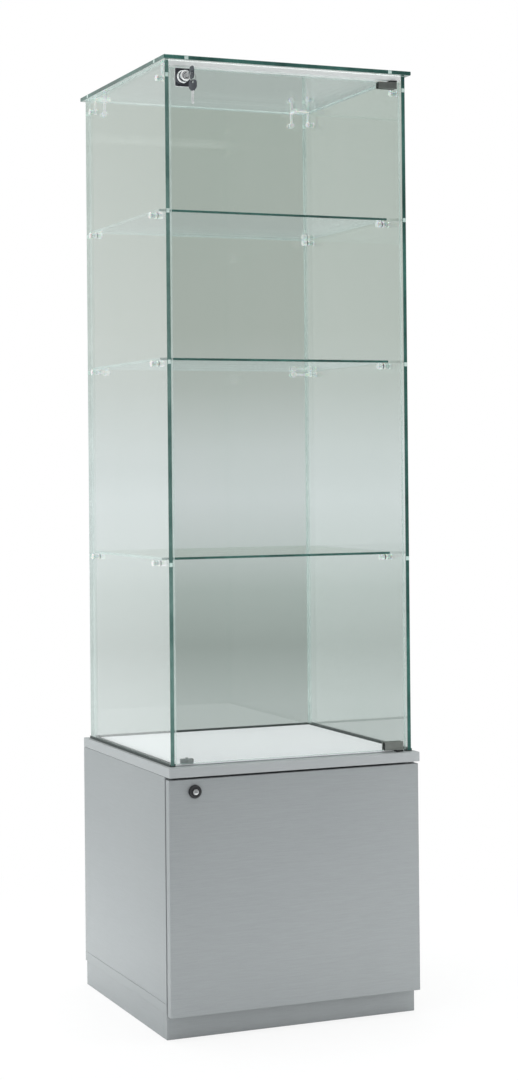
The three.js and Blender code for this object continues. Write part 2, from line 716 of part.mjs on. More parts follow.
const cupHeights = [
  ['upper', CABINET_DOOR_HEAD_Z - CUP_FROM_END],
  ['lower', CABINET_DOOR_FOOT_Z + CUP_FROM_END],
];

function buildCabinetDoor() {
  const height = CABINET_DOOR_HEAD_Z - CABINET_DOOR_FOOT_Z;
  const centreZ = (CABINET_DOOR_HEAD_Z + CABINET_DOOR_FOOT_Z) / 2;
  const edging = 0.6;
  const leaf = plate(2 * CABINET_DOOR_SIDE, height, BOARD, [], edging);
  leaf.rotateX(Math.PI / 2).translate(0, DOOR_BACK, centreZ);
  const cupSeat = (z) => rod('y', DOOR_BACK - CUP_DEPTH - 0.5, DOOR_BACK + PROUD,
    CUP_RADIUS + 0.5, [CUP_X, z], 24);
  const lockSeat = [CABINET_LOCK_X, CABINET_LOCK_Z];
  const holes = cupHeights.map(([, z]) => cupSeat(z));
  holes.push(rod('y', DOOR_FRONT - PROUD, DOOR_BACK + PROUD, TAIL_RADIUS + 0.6, lockSeat, 18));
  add('cabinet_door', cut(leaf, holes), 'laminate');
}

function buildCabinetHinges() {
  const rim = -DOOR_BACK - GAP;
  const wallX = HALF_BASE - BOARD - GAP;
  const sheet = 1.1;
  const bottom = rim + CUP_DEPTH;
  const cup = [
    [0, bottom], [CUP_RADIUS, bottom], [CUP_RADIUS, rim], [CUP_FLANGE, rim],
    [CUP_FLANGE, rim - sheet], [CUP_RADIUS - sheet, rim - sheet],
    [CUP_RADIUS - sheet, bottom - sheet], [0, bottom - sheet],
  ];
  const armRight = 242;
  const armLeft = 230;
  const armTip = DOOR_BACK - 8.5;
  const footBack = CARCASS_FRONT + 60;
  const footLeft = wallX - 9;
  const outline = [
    [wallX, footBack], [footLeft, footBack], [footLeft, CARCASS_FRONT + 32],
    [armLeft, CARCASS_FRONT + 24], [armLeft, armTip], [armRight, armTip],
    [armRight, CARCASS_FRONT + 8], [wallX, CARCASS_FRONT + 8],
  ];
  const armHeight = 14;
  for (const [name, z] of cupHeights) {
    add(`hinge_cup_${name}`, turnedForward(cup, CUP_X, z), 'steel');
    const shape = new THREE.Shape(outline.map(([x, y]) => new THREE.Vector2(x, y)));
    add(`hinge_arm_${name}`, extrude(shape, armHeight).translate(0, 0, z - armHeight / 2), 'steel');
  }
}

function buildCabinetLock() {
  const [x, z] = [CABINET_LOCK_X, CABINET_LOCK_Z];
  const bore = 6;
  const tail = -LOCK_TAIL_Y;
  const doorFace = -DOOR_FRONT + GAP;
  const rosette = 13;
  const face = doorFace + 6.6;
  const housing = turnedForward([
    [bore, tail], [TAIL_RADIUS, tail], [TAIL_RADIUS, doorFace], [rosette, doorFace],
    [rosette, doorFace + 2.5], [rosette - 1, doorFace + 5], [rosette - 3.5, face],
    [bore, face], [bore, tail],
  ], x, z);
  add('cabinet_lock_housing', housing, 'black');
  add('cabinet_lock_plug', lockPlug(bore - 0.4, face + 0.6, [3.6, 0.9], x, z), 'steel');
  add('cabinet_lock_cam', lockCam(CABINET_CAM_REACH, x, z), 'steel');

  const under = TOP_BOARD_Z - GAP;
  const leg = CARCASS_FRONT + 4;
  const sheet = 2;
  const halfLength = 16;
  const legFoot = z + 14;
  const footDepth = 24;
  const xs = [x - halfLength, x + halfLength];
  const angle = [
    block(...xs, leg, leg + sheet, legFoot, under),
    block(...xs, leg, leg + footDepth, under - sheet, under),
  ];
  add('cabinet_lock_strike', join(angle), 'steel');
}

// ---------------------------------------------------------------- assembly

buildPlinth();
buildCarcass();
buildDeck();
buildGlazingStrips();
buildGlass();
buildShelves();
buildShelfSupports();
buildTopJoints();
buildMiddleJoints();
buildHeadRail();
buildBushes();
buildDoorStop();
buildGlassDoor();
buildGlassLock();
buildKeys();
buildCabinetDoor();
buildCabinetHinges();
buildCabinetLock();

// The keys reach further in front of the case centre than the cabinet does behind it.
showcase.position.y = (KEY_REACH - BASE_BACK) / 2;

export default showcase;
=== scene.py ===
"""The look of a tower display case: glass, laminate, clear joints, hinges, locks and keys.

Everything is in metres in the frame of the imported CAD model. Sizes written in millimetres
are multiplied by MM. Places come from the boxes of the CAD nodes.
"""

import json
import math

import bmesh
import bpy
from mathutils import Matrix, Vector


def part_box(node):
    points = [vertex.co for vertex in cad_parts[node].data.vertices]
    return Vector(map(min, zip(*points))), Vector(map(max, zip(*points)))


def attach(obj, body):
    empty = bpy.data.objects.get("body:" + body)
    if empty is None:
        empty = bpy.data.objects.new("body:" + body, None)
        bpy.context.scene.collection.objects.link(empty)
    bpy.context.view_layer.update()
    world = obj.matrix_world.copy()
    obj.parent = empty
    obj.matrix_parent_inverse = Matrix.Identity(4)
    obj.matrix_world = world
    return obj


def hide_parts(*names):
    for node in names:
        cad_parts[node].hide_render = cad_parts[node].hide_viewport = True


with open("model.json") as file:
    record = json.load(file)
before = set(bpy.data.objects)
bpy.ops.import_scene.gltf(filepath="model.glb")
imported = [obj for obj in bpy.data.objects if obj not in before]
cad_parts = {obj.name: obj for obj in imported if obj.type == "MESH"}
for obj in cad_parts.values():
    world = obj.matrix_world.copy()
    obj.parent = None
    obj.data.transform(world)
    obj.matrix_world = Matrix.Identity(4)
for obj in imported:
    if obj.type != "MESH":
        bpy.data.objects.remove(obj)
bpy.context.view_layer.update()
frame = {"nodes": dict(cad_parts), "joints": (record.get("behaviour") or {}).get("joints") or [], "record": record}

MM = 0.001
VOXEL = 0.4 * MM              # fineness of the moulded joints' skins
FRONT = Vector((0, -1, 0))
BACKWARD = Vector((0, 1, 0))
UP = Vector((0, 0, 1))
WHITE = (1, 1, 1)

# ---- places from the frame


def low(node):
    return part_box(node)[0]


def high(node):
    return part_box(node)[1]


def middle(node):
    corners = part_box(node)
    return (corners[0] + corners[1]) / 2


def joint(name):
    return next(j for j in frame["joints"] if j["name"] == name)


GLASS_LOCK = Vector(joint("glass_lock_turn")["pos_m"])
CABINET_LOCK = Vector(joint("cabinet_lock_turn")["pos_m"])
RING_PIVOT = Vector(joint("key_ring_swing")["pos_m"])
SPARE_PIVOT = Vector(joint("spare_key_swing")["pos_m"])
RING_AXIS = Vector(joint("key_ring_swing")["axis"])
GLASS_PIVOT = Vector(joint("glass_door_hinge")["pos_m"])


def placed(name, data):
    """A new object in the scene."""
    thing = bpy.data.objects.new(name, data)
    bpy.context.scene.collection.objects.link(thing)
    return thing


def mesh_of(shell, name):
    """A new mesh of a bmesh, which is freed."""
    mesh = bpy.data.meshes.new(name)
    shell.to_mesh(mesh)
    shell.free()
    return mesh


# ---- camera

FRAME_HEIGHT = 1080           # of the image that the camera was matched to
FOCAL = 2138.7                # in the same units
SHIFT = (-34.9, -91.6)
CAMERA_PLACE = Vector((-1.6492, -4.0619, 1.0916))
CAMERA_YAW = math.radians(-23.314)
CAMERA_PITCH = math.radians(0.495)
CAMERA_ROLL = math.radians(-0.535)


def make_camera():
    data = bpy.data.cameras.new("camera")
    data.sensor_width = 36
    data.lens = data.sensor_width * FOCAL / FRAME_HEIGHT
    data.shift_x = SHIFT[0] / FRAME_HEIGHT
    data.shift_y = SHIFT[1] / FRAME_HEIGHT
    data.clip_end = 60
    camera = placed("camera", data)
    turn = (Matrix.Rotation(CAMERA_YAW, 4, "Z")
            @ Matrix.Rotation(math.radians(90) + CAMERA_PITCH, 4, "X")
            @ Matrix.Rotation(CAMERA_ROLL, 4, "Z"))
    camera.matrix_world = Matrix.Translation(CAMERA_PLACE) @ turn
    bpy.context.scene.camera = camera


# ---- shader building


LOOKS = {}                    # the materials, by their names


class Nodes:
    """The node tree of a new material or world, with short ways to add and link its nodes."""

    def __init__(self, owner, output="ShaderNodeOutputMaterial"):
        owner.use_nodes = True
        self.tree = owner.node_tree
        self.tree.nodes.clear()
        self.output = self.add(output)

    def add(self, kind, **settings):
        node = self.tree.nodes.new(kind)
        for name, value in settings.items():
            setattr(node, name, value)
        return node

    def feed(self, socket, source):
        """Sets a socket to a number or a colour, or links another node's output to it."""
        if isinstance(source, (int, float)):
            socket.default_value = source
        elif isinstance(source, tuple):
            socket.default_value = (*source, 1)
        else:
            self.tree.links.new(source, socket)

    def made(self, kind, output, inputs=(), **settings):
        """A new node's output. inputs gives what its named sockets are fed."""
        node = self.add(kind, **settings)
        for name, source in dict(inputs).items():
            self.feed(node.inputs[name], source)
        return node.outputs[output]

    def position(self, scale):
        """Place on the piece, in metres, stretched by scale."""
        mapping = self.add("ShaderNodeMapping")
        mapping.inputs["Scale"].default_value = scale
        self.feed(mapping.inputs["Vector"], self.made("ShaderNodeTexCoord", "Object"))
        return mapping.outputs["Vector"]

    def noise(self, scale, detail, roughness, stretch=(1, 1, 1)):
        return self.made("ShaderNodeTexNoise", "Fac", {
            "Vector": self.position(stretch), "Scale": scale, "Detail": detail,
            "Roughness": roughness})

    def ramp(self, value, stops):
        """The colour at value, between (place, colour) stops."""
        node = self.add("ShaderNodeValToRGB")
        elements = node.color_ramp.elements
        elements.remove(elements[1])
        elements[0].position = stops[0][0]
        elements[0].color = (*stops[0][1], 1)
        for place, colour in stops[1:]:
            elements.new(place).color = (*colour, 1)
        self.feed(node.inputs["Fac"], value)
        return node.outputs["Color"]

    def spread(self, value, least, most):
        """value from 0 to 1, spread between two numbers."""
        return self.made("ShaderNodeMapRange", "Result",
                         {"Value": value, "To Min": least, "To Max": most})

    def step(self, value, start, end, least=0):
        """least before start, 1 past end and a soft step from one to the other."""
        return self.made("ShaderNodeMapRange", "Result",
                         {"Value": value, "From Min": start, "From Max": end, "To Min": least},
                         interpolation_type="SMOOTHSTEP")

    def maths(self, operation, first, second):
        node = self.add("ShaderNodeMath", operation=operation)
        for socket, source in zip(node.inputs, (first, second)):
            self.feed(socket, source)
        return node.outputs["Value"]

    def mix(self, factor, first, second, blend="MIX"):
        """Two colours mixed."""
        node = self.add("ShaderNodeMix", data_type="RGBA", blend_type=blend)
        for name, source in (("Factor", factor), ("A", first), ("B", second)):
            self.feed(next(s for s in node.inputs if s.name == name and s.enabled), source)
        return next(s for s in node.outputs if s.enabled)

    def bump(self, height, distance, strength):
        return self.made("ShaderNodeBump", "Normal",
                         {"Height": height, "Distance": distance, "Strength": strength})

    def clear(self, tint):
        return self.made("ShaderNodeBsdfTransparent", "BSDF", {"Color": tint})

    def principled(self, **values):
        """A Principled shader. Its sockets' names are given with _ for spaces."""
        return self.made("ShaderNodeBsdfPrincipled", "BSDF",
                         {name.replace("_", " "): value for name, value in values.items()})

    def mix_shader(self, factor, first, second):
        node = self.add("ShaderNodeMixShader")
        for socket, source in zip(node.inputs, (factor, first, second)):
            self.feed(socket, source)
        return node.outputs["Shader"]

    def camera_ray(self):
        """Whether a ray comes from the camera, and whether it has passed no glass."""
        rays = self.add("ShaderNodeLightPath").outputs
        return rays["Is Camera Ray"], self.maths("LESS_THAN", rays["Transparent Depth"], 0.5)

    def done(self, shader):
        self.feed(self.output.inputs["Surface"], shader)


# ---- materials


def new_material(name):
    LOOKS[name] = bpy.data.materials.new(name)
    return Nodes(LOOKS[name])


def shades(tone, down, up):
    """Ramp stops from a darker to a lighter shade of tone."""
    return [(0.3, tuple(c * down for c in tone)), (0.7, tuple(min(1.0, c * up) for c in tone))]


def stretched(axis, share):
    """A scale that draws a pattern out along one axis."""
    return [share if i == axis else 1.0 for i in range(3)]


def laminate(name, tone, metallic, grain, grain_axis):
    """Melamine-faced board: a faint brushed grain, fine speckle and slow shading in its tone."""
    n = new_material(name)
    fibres = n.noise(900, 2.0, 0.6, stretched(grain_axis, 0.03))
    speckle = n.noise(2600, 1.0, 0.5)
    slow = n.noise(2.2, 2.0, 0.5)
    base = n.ramp(fibres, shades(tone, 1 - grain, 1 + grain))
    speck = n.ramp(speckle, [(0.35, (0.955, 0.957, 0.96)), (0.65, (1.03, 1.03, 1.03))])
    base = n.mix(1.0, base, speck, "MULTIPLY")
    patch = n.ramp(slow, [(0.3, (0.985, 0.987, 0.992)), (0.7, (1.012, 1.01, 1.006))])
    base = n.mix(1.0, base, patch, "MULTIPLY")
    height = n.maths("ADD", n.maths("MULTIPLY", speckle, 0.6), fibres)
    n.done(n.principled(
        Base_Color=base,
        Metallic=metallic,
        Roughness=n.spread(fibres, 0.40, 0.50),
        Normal=n.bump(height, 0.00003, 0.5),
    ))


def glass_face(name, slant_power):
    """Clear float glass seen through its faces: it tints a little and mirrors more at a slant."""
    n = new_material(name)
    smear = n.noise(7.0, 3.0, 0.6, (1, 1, 0.4))
    clear = n.clear(n.ramp(smear, [(0.3, (0.966, 0.981, 0.975)), (0.7, (0.975, 0.986, 0.982))]))
    mirror = n.made("ShaderNodeBsdfGlossy", "BSDF",
                    {"Color": WHITE, "Roughness": n.spread(smear, 0.004, 0.03)})
    slant = n.maths("POWER", n.made("ShaderNodeLayerWeight", "Facing"), slant_power)
    share = n.maths("ADD", n.maths("MULTIPLY", slant, 0.96), 0.04)
    n.done(n.mix_shader(share, clear, mirror))


def glass_edge(name, dark, light, clear_share, clear_tint=(0.55, 0.80, 0.72)):
    """A ground and polished glass edge, coloured by the length of glass behind it in its deep green copy; its
    arris, pale and glint copies are painted light.
    """
    n = new_material(name)
    streak = n.noise(11.0, 3.0, 0.6)
    fine = n.noise(240.0, 2.0, 0.5)
    base = n.ramp(streak, [(0.32, dark), (0.68, light)])
    glint = n.ramp(fine, [(0.35, (0.86, 0.88, 0.88)), (0.7, (1.14, 1.12, 1.12))])
    base = n.mix(1.0, base, glint, "MULTIPLY")
    body = n.principled(
        Base_Color=base,
        Roughness=n.spread(fine, 0.06, 0.16),
        IOR=1.5,
        Coat_Weight=0.15,
        Coat_Roughness=0.03,
    )
    n.done(n.mix_shader(clear_share, body, n.clear(clear_tint)))


def clear_plastic():
    """Moulded polycarbonate: milky where it is thick, glossy outside, with faint flow marks."""
    n = new_material("clear_plastic")
    flow = n.noise(160, 3.0, 0.6, (1, 1, 0.5))
    milk = n.principled(
        Base_Color=n.ramp(flow, [(0.3, (0.88, 0.92, 0.91)), (0.7, (0.97, 0.985, 0.98))]),
        Roughness=n.spread(flow, 0.10, 0.24),
        IOR=1.58,
        Subsurface_Weight=0.3,
        Subsurface_Scale=0.002,
        Coat_Weight=0.6,
        Coat_Roughness=0.06,
        Normal=n.bump(flow, 0.0001, 0.4),
    )
    slant = n.made("ShaderNodeLayerWeight", "Facing")
    share = n.maths("ADD", n.maths("MULTIPLY", slant, 0.20), 0.78)
    n.done(n.mix_shader(share, n.clear((0.95, 0.98, 0.97)), milk))


def metal(name, tone, roughness, brushed=None):
    """Plated or brushed metal: its roughness, tone and height follow fine lines or a soft haze."""
    n = new_material(name)
    lines = n.noise(1800, 3.0, 0.65, stretched(brushed, 0.02))
    haze = n.noise(70, 3.0, 0.55)
    base = n.ramp(lines, shades(tone, 0.82, 1.12))
    wear = n.ramp(haze, [(0.35, (0.93, 0.93, 0.93)), (0.7, (1.04, 1.04, 1.03))])
    base = n.mix(1.0, base, wear, "MULTIPLY")
    rough = n.maths("ADD", n.spread(lines, roughness * 0.7, roughness * 1.25),
                    n.spread(haze, 0.0, roughness * 0.3))
    n.done(n.principled(
        Base_Color=base,
        Metallic=1.0,
        Roughness=rough,
        Normal=n.bump(lines, 0.00002, 0.35),
    ))


def moulded(name, tone, roughness, texture, subtle=0.12):
    """Opaque plastic or rubber with a fine moulded grain and a slightly uneven tone."""
    n = new_material(name)
    grain = n.noise(texture, 3.0, 0.6)
    slow = n.noise(90, 2.0, 0.5)
    base = n.ramp(slow, shades(tone, 1 - subtle, 1 + subtle))
    n.done(n.principled(
        Base_Color=base,
        Roughness=n.spread(grain, roughness * 0.85, roughness * 1.2),
        IOR=1.49,
        Normal=n.bump(grain, 0.00004, 0.4),
    ))


def smoked_plastic():
    """A translucent grey moulding."""
    n = new_material("smoke_plastic")
    flow = n.noise(220, 3.0, 0.6)
    body = n.principled(
        Base_Color=n.ramp(flow, [(0.3, (0.30, 0.32, 0.32)), (0.7, (0.40, 0.42, 0.42))]),
        Roughness=n.spread(flow, 0.22, 0.34),
        IOR=1.5,
        Normal=n.bump(flow, 0.0001, 0.4),
    )
    n.done(n.mix_shader(0.2, body, n.clear((0.72, 0.76, 0.76))))


SILVER = (0.335, 0.354, 0.362)
laminate("silver_front", SILVER, 0.25, 0.045, 0)
laminate("silver_side", SILVER, 0.25, 0.045, 1)
# The top board is the same silver laminate, painted lighter: painted light on the top board and its lip.
laminate("silver_top_painted_lighter", (0.430, 0.450, 0.457), 0.25, 0.045, 0)
laminate("white_laminate", (0.94, 0.905, 0.94), 0.0, 0.012, 0)
moulded("white_rail", (0.93, 0.935, 0.935), 0.32, 1400, 0.02)
moulded("glazing_strip", (0.050, 0.066, 0.062), 0.55, 900)
glass_face("glass_face", 5.0)
glass_face("glass_ceiling", 2.6)
glass_edge("glass_edge", (0.014, 0.060, 0.050), (0.045, 0.160, 0.135), 0.03)
# A lighter copy of the green edge for the arrises and the left pane's edges: painted light.
glass_edge("glass_arris_painted_light", (0.05, 0.12, 0.105), (0.14, 0.25, 0.225), 0.05)
# A pale copy of the edge for the edges that don't look deep green: painted light.
glass_edge("glass_pale_painted_light", (0.56, 0.66, 0.64), (0.82, 0.90, 0.88), 0.55, (0.88, 0.95, 0.93))
# A bright copy of the edge beside the drilled holes and along the shelves' rear edges: a painted glint.
glass_edge("glass_painted_glint", (0.62, 0.80, 0.76), (0.82, 0.93, 0.90), 0.2)
clear_plastic()
metal("dark_nickel", (0.31, 0.33, 0.31), 0.34, brushed=0)
metal("chrome", (0.92, 0.93, 0.94), 0.06)
# A dark copy of chrome: a painted dark reflection, for the flat front of the glass lock's plate.
metal("chrome_painted_dark_reflection", (0.16, 0.17, 0.19), 0.10)
metal("zinc_steel", (0.70, 0.71, 0.72), 0.24)
moulded("black_plastic", (0.014, 0.015, 0.017), 0.30, 1500)
moulded("key_plastic", (0.055, 0.062, 0.075), 0.34, 1300)
moulded("dark_gap", (0.02, 0.021, 0.022), 0.6, 1100)
smoked_plastic()

# ---- mesh building


def link_piece(name, mesh, looks):
    piece = placed(name, mesh)
    mesh.materials.clear()
    for look in looks:
        mesh.materials.append(LOOKS[look])
    return piece


def finished(piece, body):
    """Puts a piece on its body."""
    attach(piece, body)


def body_of(node):
    bodies = frame["record"]["behaviour"]["bodies"]
    return next(body for body, nodes in bodies.items() if node in nodes)


def slot_of(node):
    subparts = frame["record"]["subparts"]
    return next(part["material_slot"] for part in subparts if part["node"] == node)


def stand_in(piece, node):
    """Finishes a piece that takes the place of one CAD node."""
    finished(piece, body_of(node))
    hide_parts(node)


def smooth(mesh, angle=35):
    for polygon in mesh.polygons:
        polygon.use_smooth = True
    mesh.set_sharp_from_angle(angle=math.radians(angle))


def bevel(piece, width, angle=30):
    modifier = piece.modifiers.new("bevel", "BEVEL")
    modifier.width = width
    modifier.segments = 2
    modifier.limit_method = "ANGLE"
    modifier.angle_limit = math.radians(angle)


def applied(piece):
    """The piece with its modifiers made part of its mesh."""
    graph = bpy.context.evaluated_depsgraph_get()
    mesh = bpy.data.meshes.new_from_object(piece.evaluated_get(graph), depsgraph=graph)
    old = piece.data
    piece.modifiers.clear()
    piece.data = mesh
    bpy.data.meshes.remove(old)
    return piece


def block_mesh(lowest, highest):
    """A box between two corners."""
    shell = bmesh.new()
    bmesh.ops.create_cube(shell, size=1.0)
    size = highest - lowest
    for vertex in shell.verts:
        vertex.co = Vector(lowest[i] + (vertex.co[i] + 0.5) * size[i] for i in range(3))
    return mesh_of(shell, "block")


def axis_turn(axis):
    """The rotation that takes +Z to axis."""
    return UP.rotation_difference(Vector(axis)).to_matrix().to_4x4()


def lathe_mesh(profile, centre, axis, segments=48):
    """A turned solid: profile points are (radius, distance along axis), from the axis to it."""
    shell = bmesh.new()
    rings = []
    for radius, along in profile:
        if radius < 1e-7:
            rings.append([shell.verts.new((0, 0, along))])
            continue
        ring = []
        for i in range(segments):
            angle = 2 * math.pi * i / segments
            across = (radius * math.cos(angle), radius * math.sin(angle))
            ring.append(shell.verts.new((*across, along)))
        rings.append(ring)
    closed = len(rings[0]) > 1
    pairs = list(zip(rings, rings[1:])) + ([(rings[-1], rings[0])] if closed else [])
    for first, second in pairs:
        for i in range(segments):
            j = (i + 1) % segments
            if len(first) == 1:
                shell.faces.new((first[0], second[j], second[i]))
            elif len(second) == 1:
                shell.faces.new((first[i], first[j], second[0]))
            else:
                shell.faces.new((first[i], first[j], second[j], second[i]))
    bmesh.ops.recalc_face_normals(shell, faces=shell.faces)
    shell.transform(Matrix.Translation(centre) @ axis_turn(axis))
    return mesh_of(shell, "turned")


def eased(points, radius, steps=3):
    """A profile with its corners rounded by short arcs."""
    result = [points[0]]
    for before, corner, after in zip(points, points[1:], points[2:]):
        b, c, a = Vector(before), Vector(corner), Vector(after)
        reach = min(radius, (b - c).length * 0.45, (a - c).length * 0.45)
        start = c + (b - c).normalized() * reach
        end = c + (a - c).normalized() * reach
        for i in range(steps + 1):
            t = i / steps
            result.append(tuple((1 - t) ** 2 * start + 2 * t * (1 - t) * c + t * t * end))
    result.append(points[-1])
    return result


def outline_mesh(loops, thickness, edge, segments=1):
    """A flat plate in its own XY plane, centred on Z: the first loop is its outline, the others
    are holes, and its edges are bevelled. Loops are lists of points."""
    curve = bpy.data.curves.new("outline", "CURVE")
    curve.dimensions = "2D"
    curve.fill_mode = "BOTH"
    curve.extrude = thickness / 2 - edge
    curve.bevel_depth = edge
    curve.bevel_resolution = segments - 1
    curve.offset = -edge
    for loop in loops:
        spline = curve.splines.new("POLY")
        spline.points.add(len(loop) - 1)
        for point, (x, y) in zip(spline.points, loop):
            point.co = (x, y, 0, 1)
        spline.use_cyclic_u = True
    holder = placed("outline", curve)
    graph = bpy.context.evaluated_depsgraph_get()
    mesh = bpy.data.meshes.new_from_object(holder.evaluated_get(graph), depsgraph=graph)
    bpy.data.objects.remove(holder)
    bpy.data.curves.remove(curve)
    shell = bmesh.new()
    shell.from_mesh(mesh)
    bmesh.ops.remove_doubles(shell, verts=shell.verts, dist=1e-6)
    bmesh.ops.recalc_face_normals(shell, faces=shell.faces)
    shell.to_mesh(mesh)
    shell.free()
    return mesh


def rectangle(width, height):
    return [(-width / 2, -height / 2), (width / 2, -height / 2),
            (width / 2, height / 2), (-width / 2, height / 2)]


def rounded_rectangle(x0, x1, y0, y1, radius, steps=8):
    points = []
    corners = ((x1 - radius, y0 + radius, -90), (x1 - radius, y1 - radius, 0),
               (x0 + radius, y1 - radius, 90), (x0 + radius, y0 + radius, 180))
    for cx, cy, start in corners:
        for i in range(steps + 1):
            angle = math.radians(start + 90 * i / steps)
            points.append((cx + radius * math.cos(angle), cy + radius * math.sin(angle)))
    return points


def circle(x, y, radius, steps=32):
    angles = [-2 * math.pi * i / steps for i in range(steps)]
    return [(x + radius * math.cos(a), y + radius * math.sin(a)) for a in angles]


def joined(name, meshes, look):
    """One piece of several meshes, all of one look."""
    shell = bmesh.new()
    for mesh in meshes:
        shell.from_mesh(mesh)
        bpy.data.meshes.remove(mesh)
    whole = mesh_of(shell, name)
    piece = link_piece(name, whole, [look])
    smooth(whole)
    return piece


def melted(piece):
    """Joins a piece's overlapping solids into one skin with soft corners, as a mould leaves."""
    remesh = piece.modifiers.new("skin", "REMESH")
    remesh.mode = "VOXEL"
    remesh.voxel_size = VOXEL
    remesh.use_smooth_shade = True
    ease = piece.modifiers.new("ease", "SMOOTH")
    ease.factor = 0.5
    ease.iterations = 4
    return applied(piece)


# ---- boards and plain CAD nodes

BOARD_ROUND = 0.7 * MM
BOARDS = {
    "silver_front": ("plinth_front", "plinth_back", "bottom_board", "cabinet_back",
                     "cabinet_door"),
    "silver_side": ("plinth_left", "plinth_right", "cabinet_side_left", "cabinet_side_right"),
    "silver_top_painted_lighter": ("top_board",),
    "white_laminate": ("display_deck",),
}
EASED_EDGES = {
    "glazing_strip_left": 0.2, "glazing_strip_right": 0.2, "glazing_strip_back": 0.2,
    "head_rail": 0.6, "pivot_bush_upper": 0.15, "pivot_bush_lower": 0.15,
}


def dress(node, look, width):
    """Gives a CAD node its material, and a small round on its sharp edges."""
    piece = frame["nodes"][node]
    piece.data.materials.clear()
    piece.data.materials.append(LOOKS[look])
    weld = piece.modifiers.new("weld", "WELD")
    weld.merge_threshold = 0.00001
    bevel(piece, width, 50)


def dress_cad():
    for look, nodes in BOARDS.items():
        for node in nodes:
            dress(node, look, BOARD_ROUND)
    for node, width in EASED_EDGES.items():
        look = "black_plastic" if node.startswith("pivot") else slot_of(node)
        dress(node, look, width * MM)


# ---- places shared by the pieces

GLASS = high("glass_top").z - low("glass_top").z
GAP = 0.3 * MM
CASE_Y = middle("glass_left").y
DISC = 6.0 * MM
DISC_DEPTH = 5.0 * MM
SHANK = 3.6 * MM
HEAD_DEPTH = 2.5 * MM
WIDE, DEEP = 5.0 * MM / 2, 4.0 * MM / 2      # half the width and depth of the clear joints' arms
INNER_X = high("glass_right").x - GLASS
BACK_Y = low("glass_back").y
CEILING = low("glass_top").z
ARM_WALL = INNER_X - GAP - DEEP        # the middle of an arm that lies along a side pane
ARM_BACK = BACK_Y - GAP - DEEP
ARM_CEILING = CEILING - GAP - DEEP
JOINT_X = DISC - high("corner_joint_middle_left").x
JOINT_REAR_Y = low("corner_joint_middle_left").y + DISC
JOINT_FRONT_Y = middle("corner_joint_top_front_left").y
JOINT_Z = low("corner_joint_top_front_left").z + DISC
MIDDLE_JOINT_Z = middle("corner_joint_middle_left").z
SIDES = (("left", -1), ("right", 1))
PEGS = [n for n in frame["nodes"] if n.startswith("shelf_support")]


def forward(f):
    """The y of a point f millimetres in front of the middle of the case."""
    return CASE_Y - f * MM


def ahead(y):
    """How far y lies in front of the middle of the case, in millimetres."""
    return (CASE_Y - y) / MM


# ---- glass

SHARP = 0.0001 * MM           # next to no bevel
ARRIS = 0.8 * MM
HOLE = 4.0 * MM
LOCK_HOLE = 9.6 * MM
# Edges this near a drilled hole get a painted glint beside it.
GLINT_REACH = 0.1             # a drilled hole lights up the edges that are this near
# Of a pane's looks, the arris, pale and glint ones are painted light on the glass edges.
FACE, EDGE, PAINTED_LIGHT_ARRIS, PAINTED_GLINT, PAINTED_PALE = range(5)      # a pane's looks, in order
FACE_LEAN, EDGE_LEAN = 0.95, 0.3


def pane_place(centre, normal):
    """Takes a pane's own Z to normal, with its Y upright where it can be."""
    normal = Vector(normal)
    if abs(normal.z) > 0.9:
        return Matrix.Translation(centre)
    side = UP.cross(normal).normalized()
    return Matrix.Translation(centre) @ Matrix((side, UP, normal)).transposed().to_4x4()


def edge_points(width, height, holes):
    """The outline of a pane, with a short stretch of its edge marked off beside each hole for a painted glint."""
    half = (width / 2, height / 2)

    def stops(i):
        """Where the two edges along one axis are marked off."""
        near = [hole[i] for hole in holes if half[1 - i] - abs(hole[1 - i]) < GLINT_REACH]
        marks = {at + side for at in near for side in (-HOLE, HOLE)}
        return sorted(mark for mark in marks if abs(mark) < half[i])

    across, upward = stops(0), stops(1)
    points = [(-half[0], -half[1])] + [(x, -half[1]) for x in across]
    points += [(half[0], -half[1])] + [(half[0], y) for y in upward]
    points += [(half[0], half[1])] + [(x, half[1]) for x in reversed(across)]
    points += [(-half[0], half[1])] + [(-half[0], y) for y in reversed(upward)]
    return points


def near_hole(point, half, holes):
    """True for a point of the edge that lies just beside a drilled hole."""
    for hole in holes:
        for i in (0, 1):
            beside = (half[i] - abs(point[i]) < 2 * ARRIS
                      and abs(point[1 - i] - hole[1 - i]) < HOLE)
            close = point[i] * hole[i] > 0 and half[i] - abs(hole[i]) < GLINT_REACH
            if beside and close:
                return True
    return False


def deep_edge(node, outward):
    """True for the edges that look deep green: those that face front, and the top glass's sides."""
    if node == "glass_top":
        return outward.y < 0.5
    return outward.y < -0.5 and node not in ("glass_door", "glass_back")


def pane_look(node, lean, outward, by_hole):
    """Which of a pane's looks a polygon has. lean is 1 on its faces and 0 on its edges."""
    if lean > FACE_LEAN:
        return FACE
    on_edge = lean < EDGE_LEAN
    # Edges beside a drilled hole and the shelves' rear edges get a painted glint.
    if on_edge and (by_hole or (node.startswith("shelf_") and outward.y > 0.5)):
        return PAINTED_GLINT
    # Edges that don't look deep green get the pale copy: painted light.
    if not deep_edge(node, outward):
        return PAINTED_PALE
    # The arrises, and the left pane's edges, get the lighter copy: painted light.
    return EDGE if on_edge and node != "glass_left" else PAINTED_LIGHT_ARRIS


